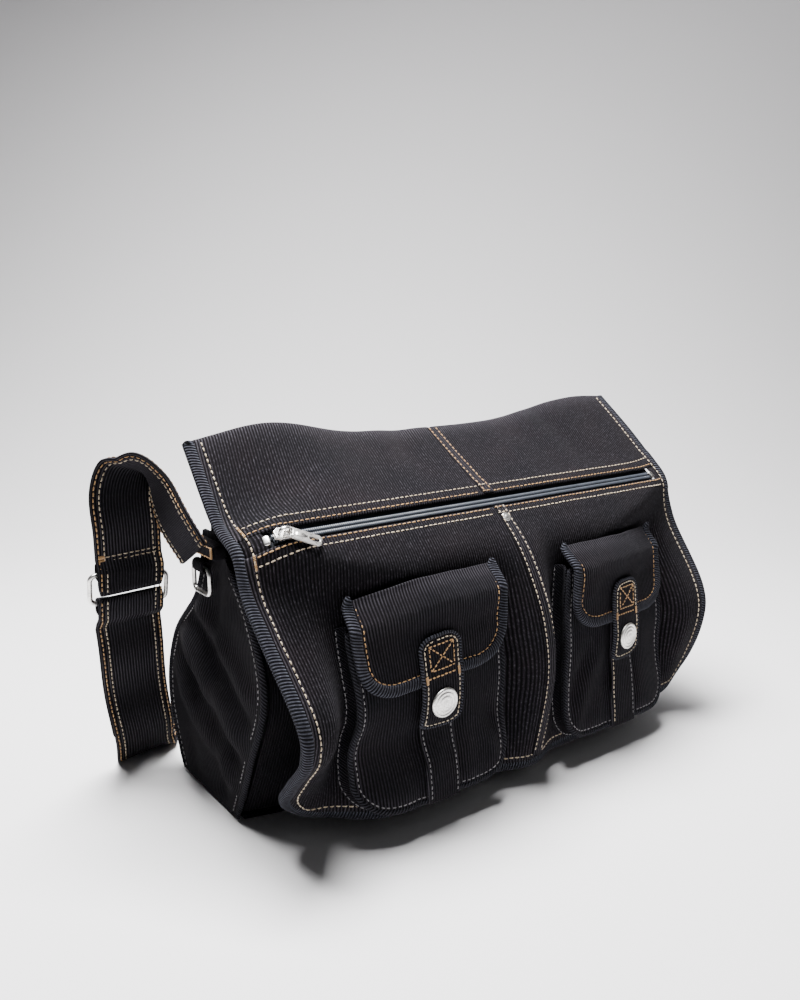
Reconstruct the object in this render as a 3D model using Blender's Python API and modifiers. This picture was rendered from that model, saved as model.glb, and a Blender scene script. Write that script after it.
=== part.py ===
"""Corduroy messenger bag, built piece by piece.

Units are metres. The origin is the centre of the flat bottom panel, on the
surface the bag stands on. +X runs along the bag's width, -Y is the front,
where the flap and its two pockets are, and +Z is up.
"""
import math

import bmesh
import bpy
from mathutils import Matrix, Vector

MM = 0.001

# ---- driving dimensions, in millimetres ----
PANEL_HALF = 184.0        # half width of the front, back and base panels
GUSSET_X = 187.4          # middle of each side gusset
BODY_CLOTH = 3.0          # lined corduroy of the body
BASE_CLOTH = 4.0          # bottom panel
CLOTH = 2.4               # single corduroy of the flap
FLAP_HALF = 200.0         # half width of the flap
FLAP_LENGTH = 298.0       # ridge to hem, along the cloth
FLAP_CORNER = 34.0        # radius of the lower corners
FLAP_LEAN = 7.0           # sideways drift of the draped flap at the hem
HINGE = (17.5, 245.0)     # y and z of the seam that the flap turns on
ZIP_S = 87.0              # distance of the zip from the ridge
ZIP_OPENING = 9.0         # half of the slot that shows the zip
ZIP_END = 178.0           # half length of the zip
COIL_RADIUS = 1.6
BINDING_WIDTH = 7.0
BINDING_THICK = 6.0
POCKET_X = {"left": -86.0, "right": 95.0}
POCKET_TOP = 133.0        # seam of the pocket flap, distance from the ridge
POCKET_LENGTH = 157.0
POCKET_HALF = 60.0
POCKET_DEPTH = 10.0
POCKET_HOLLOW = 26.0      # the flap sinks this far behind a pocket
FACE_SINK = 0.9           # share of the hollow that the pocket's face follows
POCKET_CORNER = 22.0
LID_LENGTH = 70.0
LID_HALF = 58.5
TAB_HALF = 15.5
TAB_FROM = 36.0           # top and foot of the snap tab, below the lid's seam
TAB_TO = 103.0
TAB_HEIGHT = POCKET_DEPTH + 9.6
SNAP_V = 82.0
SNAP_RADIUS = 10.5
STRAP_WIDTH = 46.0
STRAP_THICK = 3.0
WIRE = 1.5                # radius of the ring wire
FLOOR_GAP = 0.3           # nothing reaches below this but the base panel

# draped side profiles of the flap, as (y, z) at five distances from the ridge
FLAP_AT = (0.0, 87.0, 140.0, 212.0, 298.0)
FLAP_LEFT = ((14, 251), (-43, 189), (-79, 149), (-112, 92), (-60, 22))
FLAP_MIDDLE = ((13, 249), (-60, 203), (-95, 165), (-114, 97), (-101, 14))
FLAP_RIGHT = ((15, 262), (-54, 204), (-72, 160), (-104, 96), (-82, 23))

# front panel, mouth to bottom seam, at the same three places
FRONT_AT = (0.0, 0.25, 0.5, 0.75, 1.0)
FRONT_LEFT = ((-19, 178), (-46, 146), (-60, 102), (-40, 50), (-17, 5))
FRONT_MIDDLE = ((-33, 191), (-60, 155), (-67, 108), (-63, 58), (-53, 5))
FRONT_RIGHT = ((-29, 194), (-49, 156), (-60, 110), (-60, 58), (-51, 5))

# back panel, top seam to bottom seam
BACK_AT = (0.0, 0.2, 0.4, 0.6, 0.8, 1.0)
BACK_LEFT = ((14, 242), (14, 190), (27, 150), (68, 108), (83, 58), (66, 5))
BACK_MIDDLE = ((14, 242), (17, 196), (40, 150), (70, 108), (82, 58), (66, 5))


# ---------------------------------------------------------------- helpers
def clear_scene():
    for obj in list(bpy.data.objects):
        bpy.data.objects.remove(obj, do_unlink=True)


def new_collection(name):
    group = bpy.data.collections.new(name)
    bpy.context.scene.collection.children.link(group)
    return group


def material(name, colour, roughness, metallic=0.0):
    mat = bpy.data.materials.new(name)
    mat.use_nodes = True
    shader = mat.node_tree.nodes["Principled BSDF"]
    shader.inputs["Base Color"].default_value = (*colour, 1.0)
    shader.inputs["Roughness"].default_value = roughness
    shader.inputs["Metallic"].default_value = metallic
    mat.diffuse_color = (*colour, 1.0)
    return mat


def finish(obj, mat, smooth=True):
    obj.data.materials.append(mat)
    if smooth and obj.type == "MESH":
        obj.data.shade_smooth()
    BAG.objects.link(obj)
    return obj


def curve_through(knots, values, at):
    """Smooth curve through the values, by cubic pieces between the knots."""
    last = len(knots) - 1
    i = 0
    while i < last - 1 and at > knots[i + 1]:
        i += 1

    def slope(k):
        lo = max(k - 1, 0)
        hi = min(k + 1, last)
        return (values[hi] - values[lo]) / (knots[hi] - knots[lo])

    step = knots[i + 1] - knots[i]
    t = (at - knots[i]) / step
    a = values[i] * (2 * t ** 3 - 3 * t ** 2 + 1)
    b = slope(i) * step * (t ** 3 - 2 * t ** 2 + t)
    c = values[i + 1] * (-2 * t ** 3 + 3 * t ** 2)
    d = slope(i + 1) * step * (t ** 3 - t ** 2)
    return a + b + c + d


def across(left, middle, right, u):
    """Blend three stations at u = -1, 0 and 1."""
    return middle + (right - left) / 2 * u + ((left + right) / 2 - middle) * u * u


def drape_across(left, middle, right, u, s):
    """Keep the flap straight along the zip, with a curl only at its edges."""
    zip_band = bump(s, ZIP_S, 45)
    low = smooth_step(215, 290, s)
    start = 0.2 + 0.665 * zip_band + 0.4 * low
    end = 0.92 + 0.14 * zip_band + 0.08 * low
    curl = smooth_step(start, end, abs(u))
    side = right if u > 0 else left
    return middle + (side - middle) * curl


def smooth_step(a, b, x):
    t = min(max((x - a) / (b - a), 0.0), 1.0)
    return t * t * (3 - 2 * t)


def bump(x, centre, width):
    return math.exp(-((x - centre) / width) ** 2)


def three_profiles(knots, left, middle, right, at):
    """The three stations' values of y, then of z, at one place."""
    return [[curve_through(knots, [p[axis] for p in profile], at)
             for profile in (left, middle, right)] for axis in (0, 1)]


def mesh_object(name, verts, faces, mat, smooth=True):
    mesh = bpy.data.meshes.new(name)
    mesh.from_pydata([tuple(c * MM for c in v) for v in verts], [], faces)
    bm = bmesh.new()
    bm.from_mesh(mesh)
    bmesh.ops.recalc_face_normals(bm, faces=bm.faces)
    bm.to_mesh(mesh)
    bm.free()
    return finish(bpy.data.objects.new(name, mesh), mat, smooth)


def sheet(name, rows, thickness, mat, closed=False):
    """A cloth panel: a grid of points, thickened evenly to both sides."""
    wide = len(rows[0])
    verts = [p for row in rows for p in row]
    faces = []
    for r in range(len(rows) - 1):
        for c in range(wide if closed else wide - 1):
            d = (c + 1) % wide
            faces.append((r * wide + c, r * wide + d,
                          (r + 1) * wide + d, (r + 1) * wide + c))
    obj = mesh_object(name, verts, faces, mat)
    solid = obj.modifiers.new("thickness", "SOLIDIFY")
    solid.thickness = thickness * MM
    solid.offset = 0.0
    solid.use_even_offset = True
    return obj


def band(name, centres, wides, normals, width, thick, mat):
    """A ribbon: rectangular sections set along a path and capped."""
    verts = []
    for c, w, n in zip(centres, wides, normals):
        w = w.normalized() * width / 2
        n = n.normalized() * thick / 2
        verts += [c - w - n, c + w - n, c + w + n, c - w + n]
    for v in verts:
        v.z = max(v.z, FLOOR_GAP)
    faces = [(3, 2, 1, 0)]
    for k in range(len(centres) - 1):
        a = 4 * k
        for e in range(4):
            f = (e + 1) % 4
            faces.append((a + e, a + f, a + 4 + f, a + 4 + e))
    a = 4 * (len(centres) - 1)
    faces.append((a, a + 1, a + 2, a + 3))
    return mesh_object(name, verts, faces, mat, smooth=False)


def wire(name, points, radius, mat, cyclic=False, sides=2):
    data = bpy.data.curves.new(name, "CURVE")
    data.dimensions = "3D"
    data.bevel_depth = radius * MM
    data.bevel_resolution = sides
    data.use_fill_caps = not cyclic
    spline = data.splines.new("POLY")
    spline.points.add(len(points) - 1)
    for slot, p in zip(spline.points, points):
        slot.co = (p[0] * MM, p[1] * MM, p[2] * MM, 1.0)
    spline.use_cyclic_u = cyclic
    return finish(bpy.data.objects.new(name, data), mat)


def rounded_loop(width, height, radius, steps=3):
    """Corner points of a rounded rectangle, around (0, 0)."""
    points = []
    for i, (sx, sy) in enumerate(((1, 1), (-1, 1), (-1, -1), (1, -1))):
        cx = sx * (width / 2 - radius)
        cy = sy * (height / 2 - radius)
        for k in range(steps + 1):
            a = math.radians(90 * i + 90 * k / steps)
            points.append((cx + radius * math.cos(a), cy + radius * math.sin(a)))
    return points


def outline_curve(name, outlines, half_thick, mat, place):
    """A flat plate cut from one outline with holes in it."""
    data = bpy.data.curves.new(name, "CURVE")
    data.dimensions = "2D"
    data.fill_mode = "BOTH"
    data.extrude = half_thick * MM
    for outline in outlines:
        spline = data.splines.new("POLY")
        spline.points.add(len(outline) - 1)
        for slot, p in zip(spline.points, outline):
            slot.co = (p[0] * MM, p[1] * MM, 0.0, 1.0)
        spline.use_cyclic_u = True
    obj = bpy.data.objects.new(name, data)
    obj.matrix_world = place
    return finish(obj, mat)


def turned(name, profile, place, mat, steps=20):
    """A round piece, turned from (radius, height) points listed foot to top."""
    mesh = bpy.data.meshes.new(name)
    verts = [(r * MM, 0.0, h * MM) for r, h in reversed(profile)]
    mesh.from_pydata(verts, [(i, i + 1) for i in range(len(verts) - 1)], [])
    obj = bpy.data.objects.new(name, mesh)
    screw = obj.modifiers.new("turn", "SCREW")
    screw.steps = steps
    screw.render_steps = steps
    screw.use_merge_vertices = True
    screw.merge_threshold = 0.00005
    obj.matrix_world = place
    return finish(obj, mat)


def frame_at(origin, x_axis, z_axis):
    """Placement whose local Z is z_axis and whose local X lies near x_axis."""
    z = z_axis.normalized()
    x = (x_axis - z * x_axis.dot(z)).normalized()
    y = z.cross(x)
    place = Matrix((x, y, z)).transposed().to_4x4()
    place.translation = origin * MM
    return place


# ---------------------------------------------------------- the flap's drape
def ridge_wave(x):
    return 13 * bump(x, -140, 50) + 5 * bump(x, 140, 55)


def flap_lean(s):
    return FLAP_LEAN * smooth_step(100, 215, s)


def hollow_depth(s):
    """How deep the wells behind the pockets are, along the cloth."""
    return POCKET_HOLLOW * smooth_step(105, 200, s) * (1 - 0.7 * smooth_step(225, 300, s))


def pocket_hollow(x, s):
    well = 0.0
    for cx in POCKET_X.values():
        well += 1 - smooth_step(60, 88, abs(x - cx))
    return well * hollow_depth(s)


def flap_middle_surface(x, s, hollow=None):
    """Middle of the flap's cloth; hollow replaces the sink behind the pockets."""
    u = (x - flap_lean(s)) / FLAP_HALF
    at = max(s, 0.0)
    stations = three_profiles(FLAP_AT, FLAP_LEFT, FLAP_MIDDLE, FLAP_RIGHT, at)
    y, z = [drape_across(*values, u, at) for values in stations]
    z += ridge_wave(x) * (1 - smooth_step(0, 70, s))
    y += pocket_hollow(x, s) if hollow is None else hollow
    if s < 0:
        t = -s / 14.0
        z = z + (HINGE[1] + 0.4 - z) * t
        y = y + (15.8 - y) * t
    return Vector((x, y, z))


def flap_normal(x, s):
    a = flap_middle_surface(x, s + 2) - flap_middle_surface(x, s - 2)
    b = flap_middle_surface(x + 2, s) - flap_middle_surface(x - 2, s)
    return b.cross(a).normalized() * -1


def on_flap(x, s, height=0.0):
    return flap_middle_surface(x, s) + flap_normal(x, s) * height


def flap_reach(s, inset=0.0):
    """Half width of the flap at s, narrowing round the lower corners."""
    reach = FLAP_HALF - inset - 3 * smooth_step(180, 240, s)
    radius = FLAP_CORNER - inset
    into = s - (FLAP_LENGTH - FLAP_CORNER)
    if into > 0:
        into = min(into, radius)
        reach -= radius - math.sqrt(max(radius ** 2 - into ** 2, 0.0))
    return reach


def steps(a, b, count):
    return [a + (b - a) * i / count for i in range(count + 1)]


def edge_steps(a, b, count):
    """Steps from a to b that grow finer towards b, where the cloth curls."""
    return [a + (b - a) * (1 - (1 - i / count) ** 1.7) for i in range(count + 1)]


def flap_grid(side, s_values, edge_inset, seam_gap, height, cols):
    """Half of the flap, from the centre seam out to its edge."""
    rows = []
    sign = -1 if side == "left" else 1
    for s in s_values:
        seam = flap_lean(s)
        inner = seam + sign * seam_gap
        outer = seam + sign * (flap_reach(s, edge_inset))
        across_cloth = [inner] + edge_steps(inner + sign * 7, outer, cols)
        rows.append([on_flap(x, s, height) for x in across_cloth])
    return rows


# ------------------------------------------------------------------ the body
def front_point(x, t):
    stations = three_profiles(FRONT_AT, FRONT_LEFT, FRONT_MIDDLE, FRONT_RIGHT, t)
    y, z = [across(*values, x / PANEL_HALF) for values in stations]
    return Vector((x, y, z))


def back_point(x, t):
    stations = three_profiles(BACK_AT, BACK_LEFT, BACK_MIDDLE, BACK_LEFT, t)
    y, z = [across(*values, x / PANEL_HALF) for values in stations]
    return Vector((x, y, z))


def y_at_height(point, x, z):
    """Depth of a body panel at a height, found by halving."""
    lo, hi = 0.0, 1.0
    for _ in range(24):
        mid = (lo + hi) / 2
        if point(x, mid).z > z:
            lo = mid
        else:
            hi = mid
    return point(x, lo).y


def build_body(cord, lining, stiff):
    xs = steps(-PANEL_HALF, PANEL_HALF, 12)
    sheet("body_front_panel", [[front_point(x, t) for x in xs] for t in steps(0, 1, 9)],
          BODY_CLOTH, cord)
    sheet("body_back_panel", [[back_point(x, t) for x in xs] for t in steps(0, 1, 11)],
          BODY_CLOTH, cord)
    base_panel("base_panel", PANEL_HALF, 0.0, BASE_CLOTH - 0.8, -1.6, 1.6, cord)
    base_panel("base_board", PANEL_HALF - 8, 4.2, 6.4, 6.0, -6.0, stiff)
    for side, sign in (("left", -1), ("right", 1)):
        gusset("gusset_" + side, sign, cord)
    bucket("body_lining", lining)


def base_panel(name, half, low, high, front_shift, back_shift, mat):
    """A flat board with the plan outline of the bag's bottom."""
    xs = steps(-half, half, 12)
    ring = [(x, front_point(x, 1).y + front_shift) for x in xs]
    ring += [(x, back_point(x, 1).y + back_shift) for x in reversed(xs)]
    n = len(ring)
    verts = [(x, y, low) for x, y in ring] + [(x, y, high) for x, y in ring]
    faces = [tuple(range(n)), tuple(range(n, 2 * n))]
    faces += [(i, (i + 1) % n, n + (i + 1) % n, n + i) for i in range(n)]
    mesh_object(name, verts, faces, mat, smooth=False)


def gusset_bulge(y, z):
    return 5.0 * bump(z, 70, 40) * bump(y, 5, 55)


def gusset(name, sign, mat):
    rows = []
    x_edge = sign * PANEL_HALF
    for z in (1.6, 14, 30, 50, 72, 95, 118, 140, 158, 172, 184, 196):
        front = y_at_height(front_point, x_edge, min(z, 176)) - 1.2
        back = y_at_height(back_point, x_edge, z) + 1.2
        front += 1.0 * max(z - 176, 0)
        rows.append([Vector((sign * (GUSSET_X + gusset_bulge(y, z)), y, z))
                     for y in steps(front, back, 6)])
    sheet(name, rows, BODY_CLOTH, mat)


def bucket(name, mat):
    """The lining: one closed wall just inside the four panels."""
    rows = []
    half = PANEL_HALF - 4.5
    for z in (8, 30, 55, 80, 105, 130, 150, 164):
        ring = []
        for x in steps(-half, half, 8):
            ring.append(Vector((x, y_at_height(front_point, x, z) + 4.8, z)))
        for x in steps(half, -half, 8):
            ring.append(Vector((x, y_at_height(back_point, x, z) - 4.8, z)))
        rows.append(ring)
    sheet(name, rows, 1.0, mat, closed=True)


# ------------------------------------------------------------------ the flap
def build_flap(cord, lining, tape, coil, metal):
    yoke_s = [-13, -7, 0, 8, 20, 40, 60, ZIP_S - ZIP_OPENING]
    turn_s = FLAP_LENGTH - FLAP_CORNER
    lower_s = steps(ZIP_S + ZIP_OPENING, turn_s, 9)
    for degrees in (20, 40, 60, 80):
        lower_s.append(turn_s + (FLAP_CORNER - 8.2) * math.sin(math.radians(degrees)))
    for side in ("left", "right"):
        sheet("flap_yoke_" + side, flap_grid(side, yoke_s, 8.2, 0.6, 0.0, 9), CLOTH, cord)
        sheet("flap_lower_" + side, flap_grid(side, lower_s, 8.2, 0.6, 0.0, 16), CLOTH, cord)
    lining_s = steps(10, FLAP_LENGTH - FLAP_CORNER, 11) + [FLAP_LENGTH - 20, FLAP_LENGTH - 10]
    rows = []
    outward = edge_steps(0, 1, 15)
    places = [-u for u in reversed(outward)] + outward[1:]
    for s in lining_s:
        reach = flap_reach(s, 11.5)
        rows.append([on_flap(flap_lean(s) + reach * u, s, -6.9) for u in places])
    sheet("flap_lining", rows, 1.0, lining)
    flap_binding(cord)
    build_zip(tape, coil, metal)
    turned("seam_rivet", ((0, 1.8), (4.4, 1.8), (4.2, 2.8), (2.6, 3.6), (0, 3.8)),
           frame_at(on_flap(0, 104), Vector((1, 0, 0)), flap_normal(0, 104)), metal, 16)


def flap_binding(mat):
    """Folded binding round both edges and the hem, one continuous strip."""
    inset = BINDING_WIDTH / 2
    track = [(-flap_reach(s, inset), s) for s in steps(2, FLAP_LENGTH - FLAP_CORNER, 18)]
    radius = FLAP_CORNER - inset
    centre_s = FLAP_LENGTH - FLAP_CORNER
    centre_u = flap_reach(centre_s, inset) - radius
    for k in range(1, 7):
        a = math.radians(15 * k)
        track.append((-centre_u - radius * math.cos(a), centre_s + radius * math.sin(a)))
    half_hem = [(-u, FLAP_LENGTH - inset) for u in steps(centre_u, 0, 8)[1:]]
    track += half_hem
    track += [(-u, s) for u, s in reversed(track[:-1])]
    centres = []
    for u, s in track:
        centres.append(on_flap(u + flap_lean(s), s, -1.8))
    wides = []
    normals = []
    for i, (u, s) in enumerate(track):
        ahead = centres[min(i + 1, len(track) - 1)] - centres[max(i - 1, 0)]
        n = flap_normal(u + flap_lean(s), s)
        normals.append(n)
        wides.append(ahead.cross(n))
    band("flap_binding", centres, wides, normals, BINDING_WIDTH, BINDING_THICK, mat)


def build_zip(tape, coil, metal):
    outward = edge_steps(0, ZIP_END + 5, 10)
    xs = [-x for x in reversed(outward)] + outward[1:]
    upper = [[on_flap(x, s, -4.3) for x in xs] for s in (ZIP_S - 12, ZIP_S - 6, ZIP_S - 0.4)]
    lower = [[on_flap(x, s, -4.3) for x in xs] for s in (ZIP_S + 0.4, ZIP_S + 6, ZIP_S + 12)]
    sheet("zip_tape_upper", upper, 0.8, tape)
    sheet("zip_tape_lower", lower, 0.8, tape)
    for name, off in (("upper", -1.75), ("lower", 1.75)):
        points = [on_flap(x, ZIP_S + off, -1.5) for x in steps(-ZIP_END, ZIP_END, 26)]
        wire("zip_coil_" + name, points, COIL_RADIUS, coil)
    for side, sign in (("left", -1), ("right", 1)):
        x = sign * (ZIP_END + 3.4)
        place = frame_at(on_flap(x, ZIP_S, -1.0), Vector((1, 0, 0)), flap_normal(x, ZIP_S))
        block("zip_stop_" + side, (3.6, 6.4, 3.0), place, metal, 0.5)
    build_slider(metal)


def block(name, size, place, mat, bevel=0.0):
    mesh = bpy.data.meshes.new(name)
    bm = bmesh.new()
    bmesh.ops.create_cube(bm, size=1.0)
    bmesh.ops.scale(bm, vec=Vector(size) * MM, verts=bm.verts)
    bm.to_mesh(mesh)
    bm.free()
    obj = bpy.data.objects.new(name, mesh)
    if bevel:
        edge = obj.modifiers.new("edges", "BEVEL")
        edge.width = bevel * MM
        edge.segments = 2
    obj.matrix_world = place
    return finish(obj, mat, smooth=False)


SLIDER_X = -172.0
SLIDER_HEIGHT = 2.2       # middle of the slider's top plate above the cloth
RAIL_HEIGHT = 5.6         # axis of the pull's end rail
PULL_TURN = 32.0          # the pull lies this far below the zip's line


def slider_frame():
    n = flap_normal(SLIDER_X, ZIP_S)
    return frame_at(on_flap(SLIDER_X, ZIP_S), Vector((1, 0, 0)), n)


def build_slider(metal):
    """Top plate with an arched bail, joined into one casting."""
    place = slider_frame()
    body = block("zip_slider", (12.0, 9.0, 2.4), place @ Matrix.Translation((0, 0, SLIDER_HEIGHT * MM)),
                 metal)
    arch = [(-2.6, 0, 2.0), (-2.6, 0, 7.4), (-1.7, 0, 8.3), (1.7, 0, 8.3), (2.6, 0, 7.4), (2.6, 0, 2.0)]
    points = [place @ (Vector(p) * MM) / MM for p in arch]
    bail = wire("zip_bail_cutter", points, 0.6, metal)
    mesh = bpy.data.meshes.new_from_object(bail.evaluated_get(bpy.context.evaluated_depsgraph_get()))
    bm = bmesh.new()
    bm.from_mesh(mesh)
    bmesh.ops.remove_doubles(bm, verts=bm.verts, dist=0.00001)
    bm.to_mesh(mesh)
    bm.free()
    BAG.objects.unlink(bail)
    bpy.data.objects.remove(bail)
    guide = bpy.data.objects.new("zip_bail_cutter", mesh)
    guide.hide_render = True
    guide.display_type = "WIRE"
    CUTTERS.objects.link(guide)
    union = body.modifiers.new("bail", "BOOLEAN")
    union.operation = "UNION"
    union.solver = "EXACT"
    union.object = guide
    turn = Matrix.Rotation(math.radians(-PULL_TURN), 4, "Z")
    rail = place @ Matrix.Translation((0, 0, RAIL_HEIGHT * MM)) @ turn
    tilt = Matrix.Rotation(math.radians(3.0), 4, "Y")
    eye = [(x + 2.75, y) for x, y in rounded_loop(4.4, 5.9, 1.0)]
    slot = [(x + 18.6, y) for x, y in rounded_loop(7.0, 2.6, 1.2)]
    plate = [(x + 11.6, y) for x, y in rounded_loop(24.4, 8.2, 2.2, 4)]
    outline_curve("zip_pull", (plate, eye, slot), 0.6, metal, rail @ tilt)


# --------------------------------------------------------------- the pockets
def pocket_bed(cx, u, v, height):
    """A point over the flap, measured from the middle of a pocket's top seam."""
    s = POCKET_TOP + v
    x = cx + u
    base = flap_middle_surface(x, s)
    mean = flap_normal(cx, POCKET_TOP + min(max(v, 15.0), 130.0))
    return base + mean * height


def pocket_face(cx, u, v, height):
    """A point on the pocket's flatter face, which only partly follows the hollow."""
    s = POCKET_TOP + v
    sink = FACE_SINK * hollow_depth(s)
    base = flap_middle_surface(cx + u, s, sink)
    mean = flap_normal(cx, POCKET_TOP + min(max(v, 15.0), 130.0))
    return base + mean * height


def rounded_reach(half, length, corner, v):
    into = v - (length - corner)
    if into <= 0:
        return half
    into = min(into, corner)
    return half - corner + math.sqrt(max(corner ** 2 - into ** 2, 0.0))


def rounded_rows(start, length, corner):
    rows = steps(start, length - corner, 6)
    for a in (22, 45, 65, 82):
        rows.append(length - corner + corner * math.sin(math.radians(a)))
    return rows


def lid_height(v):
    """Height of the pocket's lid over the flap: it climbs over the bellows."""
    return 2.6 + (POCKET_DEPTH + 2.4) * smooth_step(0, 16, v)


def build_pocket(side, cord, metal):
    cx = POCKET_X[side]
    name = "pocket_%s_" % side
    mouth = 17.0
    depth = POCKET_DEPTH
    bellows(name + "bellows", cx, mouth, depth, cord)
    rows = []
    for v in rounded_rows(mouth, POCKET_LENGTH, POCKET_CORNER):
        reach = rounded_reach(POCKET_HALF, POCKET_LENGTH, POCKET_CORNER, v)
        rows.append([pocket_face(cx, u, v, depth + 1.3) for u in steps(-reach, reach, 8)])
    sheet(name + "front", rows, 2.0, cord)
    rows = [[pocket_face(cx, u, v, depth + 3.85) for u in steps(-13.5, 13.5, 2)]
            for v in steps(mouth + 4, POCKET_LENGTH - 2, 8)]
    sheet(name + "strip", rows, 1.2, cord)
    lid(name, cx, cord)
    tab(name + "tab", cx, cord)
    snap(name, cx, metal)


def bellows(name, cx, mouth, depth, mat):
    """The folded side wall, one strip down, round the bottom and up again."""
    inset = 1.6
    half = POCKET_HALF - inset
    bottom = POCKET_LENGTH - inset
    radius = POCKET_CORNER - inset
    track = [(-half, v) for v in steps(mouth, bottom - radius, 7)]
    for k in range(1, 6):
        a = math.radians(18 * k)
        track.append((-half + radius - radius * math.cos(a), bottom - radius + radius * math.sin(a)))
    track += [(-u, bottom) for u in steps(half - radius, 0, 4)[1:]]
    track += [(-u, v) for u, v in reversed(track[:-1])]
    foot = [pocket_bed(cx, u, v, 4.6) for u, v in track]
    head = [pocket_face(cx, u, v, depth - 1.2) for u, v in track]
    rows = [[a.lerp(b, part) for a, b in zip(foot, head)] for part in (0.0, 0.5, 1.0)]
    sheet(name, rows, 2.0, mat)


def lid(name, cx, mat):
    length = LID_LENGTH
    half = LID_HALF
    rows = []
    for v in rounded_rows(2.0, length - 7.4, 20.0):
        reach = rounded_reach(half - 7.4, length - 7.4, 20.0, v)
        rows.append([pocket_face(cx, u, v, lid_height(v) + 1.6) for u in steps(-reach, reach, 8)])
    sheet(name + "lid", rows, 2.0, mat)
    inset = 3.1
    radius = 24.0
    track = [(-half + inset, v) for v in steps(2.0, length - inset - radius, 7)]
    for k in range(1, 6):
        a = math.radians(18 * k)
        track.append((-half + inset + radius - radius * math.cos(a),
                      length - inset - radius + radius * math.sin(a)))
    flat = half - inset - radius
    track += [(-u, length - inset) for u in steps(flat, 0, 3)[1:]]
    track += [(-u, v) for u, v in reversed(track[:-1])]
    centres = [pocket_face(cx, u, v, lid_height(v) + 1.6) for u, v in track]
    normals = []
    wides = []
    for i, (u, v) in enumerate(track):
        ahead = centres[min(i + 1, len(track) - 1)] - centres[max(i - 1, 0)]
        up = pocket_face(cx, u, v, lid_height(v) + 5) - centres[i]
        normals.append(up - ahead.normalized() * up.dot(ahead.normalized()))
        wides.append(ahead.cross(up))
    band(name + "lid_binding", centres, wides, normals, 6.0, 3.8, mat)


def tab(name, cx, mat):
    """Snap tab with round ends, sewn to the lid and hanging past its edge."""
    rows = []
    half = TAB_HALF
    for k in range(13):
        v = TAB_FROM + (TAB_TO - TAB_FROM) * k / 12
        near = min(v - TAB_FROM, TAB_TO - v)
        reach = half
        if near < 9:
            reach = half - 9 + math.sqrt(81 - (9 - near) ** 2) * 0.98
        rows.append([pocket_face(cx, u, v, TAB_HEIGHT) for u in steps(-reach, reach, 4)])
    sheet(name, rows, 1.6, mat)


def snap(name, cx, metal):
    """Press snap: cap on the tab, socket under it, stud on the strip."""
    axis = flap_normal(cx, POCKET_TOP + SNAP_V)
    place = frame_at(pocket_face(cx, 0, SNAP_V, 0), Vector((1, 0, 0)), axis)
    r = SNAP_RADIUS
    top = TAB_HEIGHT + 1.2
    cap = ((0, top), (r - 1.2, top), (r, top + 0.7), (r - 0.4, top + 1.8), (r * 0.7, top + 2.5),
           (0, top + 2.7))
    turned(name + "snap_cap", cap, place, metal, 24)
    low = POCKET_DEPTH + 4.7
    stud = ((0, low), (5.6, low), (5.6, low + 0.5), (3.0, low + 0.7), (0, low + 0.7))
    turned(name + "snap_stud", stud, place, metal, 16)
    under = TAB_HEIGHT - 1.1
    socket = ((0, under - 0.6), (5.2, under - 0.6), (6.0, under - 0.2), (6.0, under), (0, under))
    turned(name + "snap_socket", socket, place, metal, 16)


# ------------------------------------------------- anchors, rings, the strap
RING_Y = 9.0
RING_Z = 172.0
RING_X = 193.6


def build_side(side, sign, cord, metal):
    """Strap anchor block, ring loop and the wire ring of one gusset."""
    pad = frame_at(Vector((sign * 194.7, -2.0, 188.0)), Vector((0, 1, 0)), Vector((sign, 0, 0)))
    block("strap_anchor_" + side, (40.0, 10.0, 10.8), pad, cord, 0.8)
    path = []
    for k in range(12):
        a = math.radians(30 * k)
        path.append((2.9 * math.cos(a), 2.9 * math.sin(a) + (2.0 if math.sin(a) > 0.1 else 0.0)))
    rows = []
    for y in (RING_Y - 8, RING_Y, RING_Y + 8):
        rows.append([Vector((sign * RING_X + u, y, RING_Z + v)) for u, v in path])
    sheet("ring_loop_" + side, rows, 1.2, cord, closed=True)
    ring = rounded_loop(24.0, 17.0, 3.0)
    points = [(sign * RING_X, RING_Y + u, RING_Z - 8.5 + v) for u, v in ring]
    wire("side_ring_" + side, points, WIRE, metal, cyclic=True)


def strap_band(name, stations, mat, thick=STRAP_THICK, lift=0.0, last=None, count=4):
    """Sweep the webbing through stations of centre and width direction."""
    knots = [float(i) for i in range(len(stations))]
    centres = []
    wides = []
    for k in range((len(stations) - 1) * count + 1):
        at = k / count
        centre = Vector([curve_through(knots, [st[0][a] for st in stations], at) for a in range(3)])
        wide = Vector([curve_through(knots, [st[1][a] for st in stations], at) for a in range(3)])
        centres.append(centre)
        wides.append(wide.normalized())
    normals = []
    for i, wide in enumerate(wides):
        ahead = centres[min(i + 1, len(centres) - 1)] - centres[max(i - 1, 0)]
        ahead.normalize()
        wide -= ahead * wide.dot(ahead)
        wide.normalize()
        normals.append(ahead.cross(wide))
    centres = [c + n * lift for c, n in zip(centres, normals)]
    return band(name, centres[:last], wides, normals, STRAP_WIDTH, thick, mat)


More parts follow.
